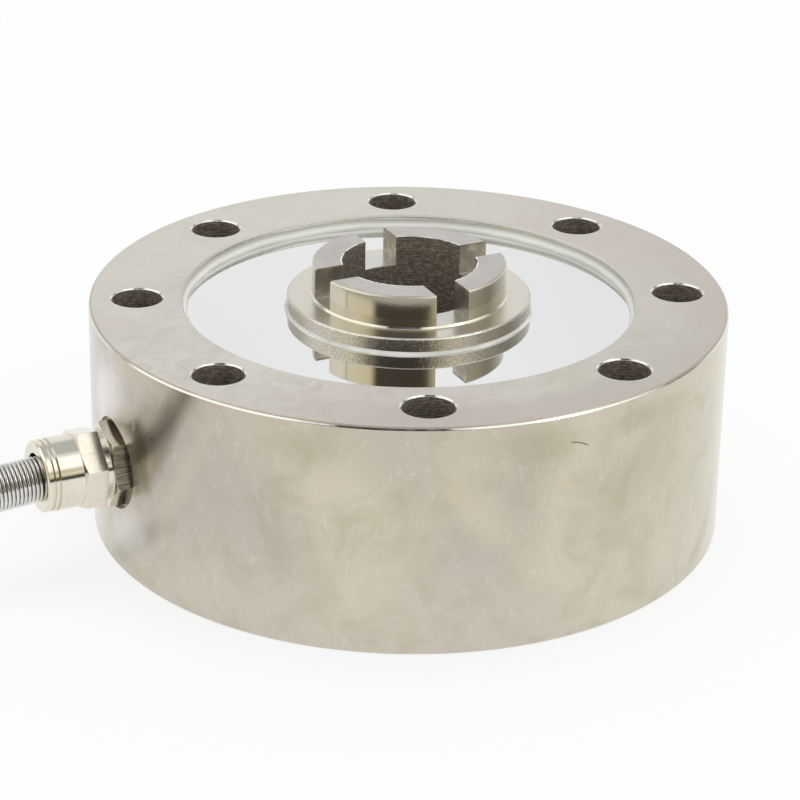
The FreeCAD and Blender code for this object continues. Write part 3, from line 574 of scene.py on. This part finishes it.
def black_rubber(place):
    dust = place.noise(600, 4.0, 0.7)
    colour = dust.step(0.4, 0.8).mixed(RUBBER_BLACK, RUBBER_DUST)
    return {"Base Color": colour, "Roughness": 0.65, "Normal": dust.bump(0.3, 0.03 * MM)}


dress(["gland_body", "gland_cap", "clamp_ring"], material("bright_nickel", bright_nickel))
dress(["gland_washer"], material("washer_fibre", washer_fibre))
dress(["gland_grommet"], material("black_rubber", black_rubber))


# The cable: four cores and a braid in a smooth light grey sheath, 5 mm thick and 3 m long. It droops
# from the gland to the floor, and its spare length is put away in a tied coil beside the cell.

CABLE_RADIUS = 2.5 * MM
SHEATH_GREY = (0.560, 0.565, 0.550, 1)
SHEATH_SCUFFED = (0.620, 0.622, 0.605, 1)

# The route and its coil are in millimetres, as the points are in the solid cable.
SHEATH_END = (-48.0, 0.0, 19.0)
LEAD_POINTS = (
    (-79.1, 0.0, 19.0),
    (-110.0, -0.5, 12.5),
    (-138.5, -6.0, 4.4),
    (-170.5, -16.0, 2.5),
    (-203.5, -15.0, 2.5),
    (-222.5, 2.0, 2.5),
    (-224.5, 27.0, 2.5),
    (-212.5, 50.0, 2.5),
    (-193.5, 64.0, 2.5),
)
COIL_CENTRE = np.array([-176.5, 30.0, 0.0])
COIL_MEAN_RADIUS = 30.0
COIL_PITCH = 5.5
COIL_COLUMNS = 4
COIL_START = math.radians(116.6)
COIL_END = math.radians(42.0)
COIL_TURNS = 15
COIL_STEPS = 24
SHIFT_BEGIN = 0.74
SHIFT_END = 0.87
TIE_ANGLE = math.radians(45.0)
TIE_SQUEEZE = 5.0 / 5.5
TIE_SPREAD = math.radians(16.0)

# The coil's free end lies on top of it: degrees round its centre, distance from it, and height.
TAIL_POINTS = (
    (24.0, 38.2, 21.4),
    (6.0, 36.6, 23.8),
    (-12.0, 34.2, 24.0),
    (-30.0, 32.2, 23.9),
    (-66.0, 31.2, 23.8),
    (-102.0, 31.0, 23.8),
    (-138.0, 31.0, 23.8),
)


def cable_grey(place):
    scuff = place.noise(90, 4.0, 0.6)
    colour = scuff.step(0.35, 0.75).mixed(SHEATH_GREY, SHEATH_SCUFFED)
    pores = place.noise(1500, 3.0)
    return {"Base Color": colour, "Roughness": 0.38 + 0.12 * scuff, "Normal": pores.bump(0.2, 0.03 * MM)}


def round_coil(turn, radius, height):
    """Return points over the coil's plane, in millimetres: polar coordinates about its centre."""
    turn, radius, height = np.broadcast_arrays(turn, radius, height)
    flat = np.stack([radius * np.cos(turn), radius * np.sin(turn), height], -1)
    return COIL_CENTRE + flat


def coil_points():
    """The turns: each keeps its column and layer, then moves to the next one over a short stretch."""
    total = COIL_TURNS + (COIL_START - COIL_END) / (2 * np.pi)
    wound = np.arange(1, round(total * COIL_STEPS) + 1) / COIL_STEPS
    number = np.arange(COIL_TURNS + 2)
    layer, place = np.divmod(number, COIL_COLUMNS)
    column = np.where(layer % 2 == 0, place, COIL_COLUMNS - 1 - place)
    now = np.floor(wound).astype(int)
    share = np.clip((wound - now - SHIFT_BEGIN) / (SHIFT_END - SHIFT_BEGIN), 0, 1)
    share = share * share * (3 - 2 * share)
    middle = (COIL_COLUMNS - 1) / 2
    side = (middle - (column[now] + (column[now + 1] - column[now]) * share)) * COIL_PITCH
    up = ((layer[now] + (layer[now + 1] - layer[now]) * share) - middle) * COIL_PITCH
    turn = COIL_START - wound * 2 * np.pi
    away = (turn - TIE_ANGLE + np.pi) % (2 * np.pi) - np.pi
    squeeze = 1 - (1 - TIE_SQUEEZE) * np.exp(-(away / TIE_SPREAD) ** 2)
    height = middle * COIL_PITCH + CABLE_RADIUS / MM
    return round_coil(turn, COIL_MEAN_RADIUS + side * squeeze, height + up * squeeze)


def spline(name, points, radius=0.0):
    """Make a NURBS curve with these control points, in millimetres, as a round cord of that radius."""
    curve = bpy.data.curves.new(name, "CURVE")
    curve.dimensions = "3D"
    curve.bevel_depth = radius
    curve.bevel_resolution = 6
    curve.resolution_u = 6
    curve.use_fill_caps = True
    line = curve.splines.new("NURBS")
    line.points.add(len(points) - 1)
    weighted = np.concatenate([np.asarray(points) * MM, np.ones((len(points), 1))], 1)
    line.points.foreach_set("co", weighted.ravel())
    line.order_u = 3
    line.use_endpoint_u = True
    cord = bpy.data.objects.new(name, curve)
    bpy.context.scene.collection.objects.link(cord)
    return cord


tail = [round_coil(math.radians(angle), radius, height) for angle, radius, height in TAIL_POINTS]
cable_route = np.concatenate([[SHEATH_END], LEAD_POINTS, coil_points(), tail])
cable = spline("cable", cable_route, CABLE_RADIUS)
cable.data.materials.append(material("cable_grey", cable_grey))
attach(cable, "root")
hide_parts("cable_lead", "cable_coil", "cable_tail")


# The relief spring: bright spring steel wire, wound close over the cable with a hair's gap between
# its turns. It stands on the clamp ring inside the cap nut, and keeps the cable from kinking there.

SPRING_START = 64.3 * MM
SPRING_LENGTH = 55.6 * MM
SPRING_RADIUS = 3.575 * MM
SPRING_WIRE_RADIUS = 0.315 * MM
SPRING_PITCH = 0.70 * MM
SPRING_STEPS = 28
SPRING_SIDES = 8
SPRING_ROUTE_POINTS = 12
SPRING_LINE_STEPS = 24
SPRING_BRIGHT = (0.780, 0.770, 0.740, 1)
SPRING_STAINED = (0.600, 0.585, 0.550, 1)


def spring_steel(place):
    stain = place.noise(300, 3.0)
    colour = stain.step(0.35, 0.75).mixed(SPRING_BRIGHT, SPRING_STAINED)
    return {"Base Color": colour, "Metallic": 1.0, "Roughness": 0.14 + 0.10 * stain}


def line_points(control_points, resolution):
    """Read the points of the NURBS line that a cord with these control points follows, in metres."""
    bare = spline("line", control_points)
    bare.data.resolution_u = resolution
    mesh = bpy.data.meshes.new_from_object(bare)
    points = np.empty(len(mesh.vertices) * 3)
    mesh.vertices.foreach_get("co", points)
    bpy.data.objects.remove(bare)
    bpy.data.meshes.remove(mesh)
    return points.reshape(-1, 3)


def along_line(points, distance):
    """Return the places and directions at these distances along a line of points."""
    steps = np.linalg.norm(np.diff(points, axis=0), axis=1)
    travelled = np.concatenate([[0], np.cumsum(steps)])
    places = np.stack([np.interp(distance, travelled, points[:, i]) for i in range(3)], -1)
    slopes = np.gradient(points, travelled, axis=0)
    ahead = np.stack([np.interp(distance, travelled, slopes[:, i]) for i in range(3)], -1)
    return places, ahead / np.linalg.norm(ahead, axis=1, keepdims=True)


def beside(ahead):
    """Return two directions across each direction: one level, and one as near upright as can be."""
    level = np.cross(ahead, (0, 0, 1))
    level /= np.linalg.norm(level, axis=1, keepdims=True)
    return level, np.cross(level, ahead)


def carried_circle(centres, ahead, radius, sides):
    """Carry a circle along a line: centre plus radius times cosine and sine across the direction."""
    level, upright = beside(ahead)
    turn = np.linspace(0, 2 * np.pi, sides, endpoint=False)
    radius = np.broadcast_to(radius, len(centres))[:, None, None]
    return centres[:, None] + radius * (
        np.cos(turn)[None, :, None] * level[:, None] + np.sin(turn)[None, :, None] * upright[:, None]
    )


def helix_tube(line, begin, length, radius, wire, pitch):
    """A wire wound on a line: the turn grows with distance, and a circle is carried along the helix."""
    turns = length / pitch
    wound = np.linspace(0, 1, round(turns * SPRING_STEPS))
    places, ahead = along_line(line, begin + length * wound)
    level, upright = beside(ahead)
    turn = (2 * np.pi * turns * wound)[:, None]
    out = np.cos(turn) * level + np.sin(turn) * upright
    centres = places + radius * out
    forward = np.gradient(centres, axis=0)
    forward /= np.linalg.norm(forward, axis=1, keepdims=True)
    side = np.cross(out, forward)
    around = np.linspace(0, 2 * np.pi, SPRING_SIDES, endpoint=False)
    return centres[:, None] + wire * (
        np.cos(around)[None, :, None] * out[:, None] + np.sin(around)[None, :, None] * side[:, None]
    )


cable_line = line_points(cable_route[:SPRING_ROUTE_POINTS], SPRING_LINE_STEPS)
gland_run = -SHEATH_END[0] * MM
spring_points = helix_tube(
    cable_line, SPRING_START - gland_run, SPRING_LENGTH, SPRING_RADIUS, SPRING_WIRE_RADIUS, SPRING_PITCH
)
spring = grid_piece(
    "spring_wire", spring_points, material("spring_steel", spring_steel),
    closed_v=True, caps=True,
)
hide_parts("relief_spring")


# The bare ends: four insulated cores and the braid's tail fan out of the cut sheath. Each is stripped
# for 6 mm, and its copper strands are twisted and tinned.

CORE_COLOURS = {
    "lead_red": (0.50, 0.02, 0.015, 1),
    "lead_black": (0.012, 0.012, 0.012, 1),
    "lead_green": (0.02, 0.22, 0.05, 1),
    "lead_white": (0.72, 0.71, 0.68, 1),
}

# Each core's place in the cable, in degrees round its middle, and how far it ends up to one side.
CORE_LAYS = {
    "lead_red": (162.0, -5.2),
    "lead_black": (234.0, -2.5),
    "lead_shield": (90.0, 0.0),
    "lead_green": (306.0, 2.5),
    "lead_white": (18.0, 5.2),
}

CORE_RADIUS = 0.6 * MM
CORE_LAY_RADIUS = 1.25
CORE_STEP_ANGLE = 22.0
CORE_POINTS = 4
CORE_LINE_STEPS = 16
CORE_STEPS = 40
CORE_SIDES = 14
CUT_LENGTH = 0.05 * MM
CUT_TAPER = 0.9
TIP_LENGTH = 6.0 * MM
STRAND_COUNT = 7
STRAND_RADIUS = 0.13 * MM
STRAND_LAY = 4.5 * MM
STRAND_STEP = 0.2 * MM
STRAND_SIDES = 7
TINNED_BRIGHT = (0.700, 0.700, 0.690, 1)
TINNED_COPPERY = (0.600, 0.560, 0.500, 1)
SHEATH_OVERLAP = 1.0 * MM
TAIL_END = TAIL_POINTS[-1]


def core_insulation(colour):
    def recipe(place):
        shade = place.noise(500, 3.0)
        darker = tuple(0.8 * part for part in colour[:3]) + (1,)
        tint = shade.step(0.3, 0.7).mixed(darker, colour)
        return {"Base Color": tint, "Roughness": 0.35, "Normal": shade.bump(0.15, 0.02 * MM)}
    return recipe


def tinned_copper(place):
    solder = place.noise(700, 3.0)
    colour = solder.step(0.4, 0.7).mixed(TINNED_BRIGHT, TINNED_COPPERY)
    return {"Base Color": colour, "Metallic": 1.0, "Roughness": 0.22 + 0.2 * solder}


def core_route(lay, spread):
    """The core's control points: its place across the cable moves out evenly, and it sinks to the coil."""
    angle, radius, height = TAIL_END
    share = np.arange(CORE_POINTS) / (CORE_POINTS - 1)
    side = CORE_LAY_RADIUS * math.cos(math.radians(lay))
    side = side + (spread - side) * share
    top = height + CORE_LAY_RADIUS * math.sin(math.radians(lay))
    floor = height - CABLE_RADIUS / MM + CORE_RADIUS / MM
    up = top - (top - floor) * np.sin(share * np.pi / 2)
    turn = np.radians(angle - CORE_STEP_ANGLE * np.arange(CORE_POINTS))
    return round_coil(turn, radius + side, up)


def insulated_core(name, line, length):
    """A core: a circle carried along its line, drawn in a little where the insulation was cut."""
    covered = length - TIP_LENGTH
    run = np.append(np.linspace(0, covered, CORE_STEPS), covered + CUT_LENGTH)
    centres, ahead = along_line(line, run)
    taper = np.ones(len(run))
    taper[-1] = CUT_TAPER
    tube = carried_circle(centres, ahead, CORE_RADIUS * taper, CORE_SIDES)
    finish = material(name + "_pvc", core_insulation(CORE_COLOURS[name]))
    return grid_piece(name + "_core", tube, finish, closed_v=True, caps=True)


def twisted_strands(name, line, begin, end):
    """Twisted wire: one strand straight on the line, and six wound round it on a circle."""
    run = np.linspace(begin, end, round((end - begin) / STRAND_STEP))
    centres, ahead = along_line(line, run)
    level, upright = beside(ahead)
    strand = np.arange(STRAND_COUNT)[:, None, None]
    turn = 2 * np.pi * (run[None, :, None] / STRAND_LAY + strand / (STRAND_COUNT - 1))
    offset = np.where(strand == 0, 0, 2 * STRAND_RADIUS)
    wires = centres + offset * (np.cos(turn) * level + np.sin(turn) * upright)
    tubes = np.stack([carried_circle(wire, ahead, STRAND_RADIUS, STRAND_SIDES) for wire in wires])
    return grid_piece(
        name + "_strands", tubes, TINNED_COPPER, closed_v=True, caps=True,
    )


TINNED_COPPER = material("tinned_copper", tinned_copper)
for name, (lay, spread) in CORE_LAYS.items():
    line = line_points(core_route(lay, spread), CORE_LINE_STEPS)
    length = np.linalg.norm(np.diff(line, axis=0), axis=1).sum()
    bare = name == "lead_shield"
    begin = 0 if bare else length - TIP_LENGTH - SHEATH_OVERLAP
    strands = twisted_strands(name, line, begin, length)
    if bare:
        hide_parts(name)
    else:
        core = insulated_core(name, line, length)
        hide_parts(name)


# The tie: a black nylon strap, moulded in one piece with its head. It draws the coil's turns together,
# and what stuck out of the head has been cut off short.

NYLON_BLACK = (0.024, 0.024, 0.025, 1)
NYLON_GREY = (0.038, 0.038, 0.039, 1)

# The tie's sizes are in millimetres, as the coil's are.
TIE_SECTION = 21.5
TIE_CORNER = 2.2
TIE_THICKNESS = 0.75
TIE_WIDTH = 4.0
TIE_STEPS = 160
TIE_SIDES = 20
TIE_EDGE = 0.35
TIE_RIB = 0.5
HEAD_SIZE = np.array([5.0, 6.0, 4.5])
HEAD_STEPS = 32
HEAD_SINK = 0.4
STUB_SIZE = (1.0, 3.8, 1.8)
STUB_INSET = 1.6
STUB_RISE = 0.4
BLOCK_EDGE = 0.22
POLE_GAP = 0.02


def tie_nylon(place):
    flow = place.noise(300, 3.0)
    colour = flow.step(0.3, 0.7).mixed(NYLON_BLACK, NYLON_GREY)
    return {"Base Color": colour, "Roughness": 0.40 + 0.10 * flow, "Normal": flow.bump(0.2, 0.03 * MM)}


def turned_to_tie(points):
    """Turn points, in millimetres with X out of the coil, to the tie's place, in metres."""
    x, y, z = np.moveaxis(points, -1, 0)
    cosine, sine = math.cos(TIE_ANGLE), math.sin(TIE_ANGLE)
    return (COIL_CENTRE + np.stack([x * cosine - y * sine, x * sine + y * cosine, z], -1)) * MM


def rounded_square(size, corner, steps):
    """A square with round corners: points at even turns on four arcs, and their outward directions."""
    turn = np.linspace(0, 2 * np.pi, steps, endpoint=False) + np.pi / steps
    out = np.stack([np.cos(turn), np.sin(turn)], -1)
    corners = np.sign(out) * (size / 2 - corner)
    return corners + corner * out, out


def swell(value, power):
    """Raise a number to a power and keep its sign."""
    return np.sign(value) * np.abs(value) ** power


def tie_strap():
    """The strap: round the square is carried a flat section, its cosine and sine raised to powers."""
    line, out = rounded_square(TIE_SECTION - TIE_THICKNESS, TIE_CORNER - TIE_THICKNESS / 2, TIE_STEPS)
    around = np.linspace(0, 2 * np.pi, TIE_SIDES, endpoint=False)
    across = TIE_WIDTH / 2 * swell(np.cos(around), TIE_EDGE)
    proud = TIE_THICKNESS / 2 * swell(np.sin(around), TIE_RIB)
    plane = line[:, None] + proud[None, :, None] * out[:, None]
    x = COIL_MEAN_RADIUS + plane[..., 0]
    z = TIE_SECTION / 2 + plane[..., 1]
    y = np.broadcast_to(across, x.shape)
    return turned_to_tie(np.stack([x, y, z], -1))


def rounded_block(centre, size):
    """A block with soft edges: a sphere's sines and cosines, raised to a small power."""
    up = np.linspace(np.pi / 2 - POLE_GAP, -np.pi / 2 + POLE_GAP, HEAD_STEPS)[:, None]
    turn = np.linspace(0, 2 * np.pi, 2 * HEAD_STEPS, endpoint=False)[None]
    level = swell(np.cos(up), BLOCK_EDGE)
    shape = np.stack([
        level * swell(np.cos(turn), BLOCK_EDGE),
        level * swell(np.sin(turn), BLOCK_EDGE),
        swell(np.sin(up), BLOCK_EDGE) + 0 * turn,
    ], -1)
    return turned_to_tie(centre + shape * np.asarray(size) / 2)


TIE_NYLON = material("tie_nylon", tie_nylon)
tie_outside = COIL_MEAN_RADIUS + TIE_SECTION / 2
strap = grid_piece("tie_strap", tie_strap(), TIE_NYLON, closed_u=True, closed_v=True)
head_centre = np.array([tie_outside + HEAD_SIZE[0] / 2 - HEAD_SINK, 0.0, TIE_SECTION / 2])
head = grid_piece(
    "tie_head", rounded_block(head_centre, HEAD_SIZE), TIE_NYLON, closed_v=True, caps=True,
)
stub_centre = head_centre + (HEAD_SIZE[0] / 2 - STUB_INSET, 0.0, HEAD_SIZE[2] / 2 + STUB_RISE)
stub = grid_piece(
    "tie_stub", rounded_block(stub_centre, STUB_SIZE), TIE_NYLON, closed_v=True, caps=True,
)
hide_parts("cable_tie")


# The bridge inside: foil gauges on the spokes' sides, laced wires to a small board on the hub, and the
# cable's cores soldered to it. The covers hide all of it.

# Each finish has its nodes, a colour and a roughness.
HIDDEN_FINISHES = {
    "gauge_foil": (["shear_gauge_" + str(number + 1) for number in range(8)], (0.45, 0.22, 0.05, 1), 0.3),
    "board_laminate": (["terminal_board"], (0.03, 0.16, 0.07, 1), 0.4),
    "tinned_pins": (["solder_terminals"], (0.66, 0.66, 0.65, 1), 0.3),
    "chip_ceramic": (["trim_resistors"], (0.03, 0.03, 0.035, 1), 0.35),
    "harness_wire": (["bridge_harness"], (0.45, 0.08, 0.03, 1), 0.4),
    "core_bundle": (["core_wires"], (0.30, 0.30, 0.28, 1), 0.4),
}


def hidden_finish(colour, roughness):
    def recipe(place):
        shade = place.noise(800, 3.0)
        darker = tuple(0.7 * part for part in colour[:3]) + (1,)
        tint = shade.step(0.3, 0.7).mixed(darker, colour)
        return {"Base Color": tint, "Roughness": roughness + 0.1 * shade}
    return recipe


for name, (nodes, colour, roughness) in HIDDEN_FINISHES.items():
    dress(nodes, material(name, hidden_finish(colour, roughness)))


# The studio: a pale floor and a white room with a dim patch behind the camera, a soft screen on each
# side of it, two soft lamps, and a long lens at the photograph's angle.

FLOOR_SIZE = 6.0
FLOOR_LIFT = 0.82
PAPER_DULL = (0.90, 0.90, 0.90, 1)
PAPER_CLEAN = (0.92, 0.92, 0.92, 1)
WHITE = (1.0, 1.0, 1.0, 1)
CAMERA_TARGET = Vector((0.0, 0.0, 20.074 * MM))
CAMERA_DISTANCE = 503.89 * MM
CAMERA_AZIMUTH = math.radians(-26.72)
CAMERA_ELEVATION = math.radians(24.21)
CAMERA_ROLL = math.radians(1.032)
CAMERA_LENS = 129.296
CAMERA_SHIFT = (-0.0087, 0.001718)


def seen_directly(start):
    """Return 1 for rays from the camera, from metal and through clear stuff, and 0 for scattered ones."""
    rays = start.node("LightPath")
    total = rays.out("Is Camera Ray") + rays.out("Is Glossy Ray") + rays.out("Is Transmission Ray")
    return total.math("MINIMUM", 1.0)


def floor_paper():
    """White paper: what the camera and the metal see of it is lifted to white, but for a soft shadow."""
    made = bpy.data.materials.new("floor_paper")
    made.use_nodes = True
    made.node_tree.nodes.clear()
    start = Wire(made.node_tree)
    shade = start.node("TexCoord").out("Object").noise(3, 2.0)
    paper = start.node("BsdfPrincipled", {}, {
        "Base Color": shade.mixed(PAPER_DULL, PAPER_CLEAN), "Roughness": 0.9, "Specular IOR Level": 0.1,
    })
    glow = start.node("Emission", {}, {"Color": WHITE, "Strength": 1.0})
    lifted = seen_directly(start) * FLOOR_LIFT
    both = start.node("MixShader", {}, {0: lifted, 1: paper, 2: glow})
    start.node("OutputMaterial", {}, {"Surface": both})
    return made


floor_mesh = bpy.data.meshes.new("floor")
half = FLOOR_SIZE / 2
floor_corners = [(-half, -half, 0), (half, -half, 0), (half, half, 0), (-half, half, 0)]
floor_mesh.from_pydata(floor_corners, [], [(0, 1, 2, 3)])
floor_mesh.materials.append(floor_paper())
floor = bpy.data.objects.new("floor", floor_mesh)
bpy.context.scene.collection.objects.link(floor)

# The room is given in degrees: round it from the camera's direction, and up from the floor's level.
DEGREE = math.pi / 180
ROOM_WHITE = (0.97, 0.97, 0.97, 1)
ROOM_CEILING = (0.56, 0.58, 0.60, 1)
ROOM_DARK = (0.055, 0.050, 0.045, 1)
ROOM_SCREEN = (1.35, 1.35, 1.33, 1)
ROOM_PLAIN = (0.72, 0.72, 0.72, 1)
ROOM_WALLS = (
    (-180, (0.97, 0.97, 0.97)), (-168, (0.92, 0.92, 0.92)), (-151, (0.45, 0.43, 0.40)),
    (-140, (0.62, 0.60, 0.54)), (-121, (0.53, 0.50, 0.44)), (-111, (0.92, 0.90, 0.87)),
    (-88, (1.00, 0.98, 0.93)), (-80, (0.95, 0.92, 0.84)), (-78.5, (0.45, 0.42, 0.36)),
    (-77, (0.92, 0.88, 0.74)), (-52, (0.87, 0.80, 0.60)), (-46, (0.86, 0.79, 0.59)),
    (-37, (0.08, 0.07, 0.06)), (15, (0.07, 0.06, 0.05)), (23, (0.13, 0.11, 0.09)),
    (29, (0.70, 0.65, 0.46)), (39, (0.78, 0.72, 0.54)), (60, (0.56, 0.52, 0.44)),
    (110, (0.29, 0.28, 0.23)), (124, (0.36, 0.35, 0.31)), (142, (0.56, 0.55, 0.52)),
    (160, (0.78, 0.78, 0.77)), (172, (0.97, 0.97, 0.97)),
)

world = bpy.data.worlds.new("studio")
bpy.context.scene.world = world
world.use_nodes = True
world.node_tree.nodes.clear()
start = Wire(world.node_tree)
east, north, up = start.node("TexCoord").out("Generated").parts()
ahead = east * math.sin(CAMERA_AZIMUTH) - north * math.cos(CAMERA_AZIMUTH)
aside = east * math.cos(CAMERA_AZIMUTH) + north * math.sin(CAMERA_AZIMUTH)
turn = aside.math("ARCTAN2", ahead) / DEGREE
climb = up.math("ARCSINE") / DEGREE
off_axis = turn.math("ABSOLUTE")

ceiling = climb.step(34, 50) * off_axis.step(75, 110)
left_screen = turn.within(-122, -54, 3) * climb.within(27, 77, 2)
right_screen = turn.step(30, 38) * (turn + climb * 1.5).step(176, 164) * climb.within(39, 82, 4)
low_screen = turn.within(46, 60, 3) * (climb.within(14, 19, 2) + climb.within(30, 42, 2))
screens = left_screen.math("MAXIMUM", right_screen).math("MAXIMUM", low_screen)
dark_skirt = turn.within(30, 75, 8) * climb.step(13, 8)
dark_patch = turn.within(-39.5, 25, 2.5) * climb.within(29, 69, 3)
far_wall = off_axis.step(105, 130) * climb.step(24, 16)
walls = (turn / 360 + 0.5).ramp(*[((place + 180) / 360, colour) for place, colour in ROOM_WALLS])

room = ceiling.mixed(ROOM_WHITE, ROOM_CEILING)
room = climb.step(36, 30).mixed(room, far_wall.mixed(walls, ROOM_WHITE))
room = screens.mixed(room, ROOM_SCREEN)
room = dark_skirt.mixed(room, ROOM_DARK)
room = dark_patch.mixed(room, ROOM_DARK)
room = seen_directly(start).mixed(ROOM_PLAIN, room)
room = start.node("LightPath").out("Is Camera Ray").mixed(room, WHITE)
background = start.node("Background", {}, {"Color": room, "Strength": 1.0})
start.node("OutputWorld", {}, {"Surface": background})


def lamp(name, place, size, power, glossy=True):
    """A square soft lamp, aimed at the cell. Metal doesn't show it where glossy is off."""
    light = bpy.data.lights.new(name, "AREA")
    light.size = size
    light.energy = power
    made = bpy.data.objects.new(name, light)
    made.location = place
    made.visible_glossy = glossy
    made.rotation_mode = "QUATERNION"
    made.rotation_quaternion = (CAMERA_TARGET - made.location).to_track_quat("-Z", "Y")
    bpy.context.scene.collection.objects.link(made)


lamp("lamp_overhead", place=(0.1, 0.1, 1.3), size=0.8, power=5.0, glossy=False)
lamp("lamp_right", place=(0.58, -0.62, 0.9), size=0.35, power=1.2)

camera_data = bpy.data.cameras.new("camera")
camera_data.lens = CAMERA_LENS
camera_data.shift_x, camera_data.shift_y = CAMERA_SHIFT
camera_data.clip_start = 10 * MM
camera = bpy.data.objects.new("camera", camera_data)
back = Vector((
    math.sin(CAMERA_AZIMUTH) * math.cos(CAMERA_ELEVATION),
    -math.cos(CAMERA_AZIMUTH) * math.cos(CAMERA_ELEVATION),
    math.sin(CAMERA_ELEVATION),
))
camera.location = CAMERA_TARGET + CAMERA_DISTANCE * back
camera.rotation_mode = "QUATERNION"
camera.rotation_quaternion = (-back).to_track_quat("-Z", "Y") @ Quaternion((0, 0, 1), CAMERA_ROLL)
bpy.context.scene.collection.objects.link(camera)
bpy.context.scene.camera = camera
bpy.context.scene.view_settings.view_transform = "Standard"
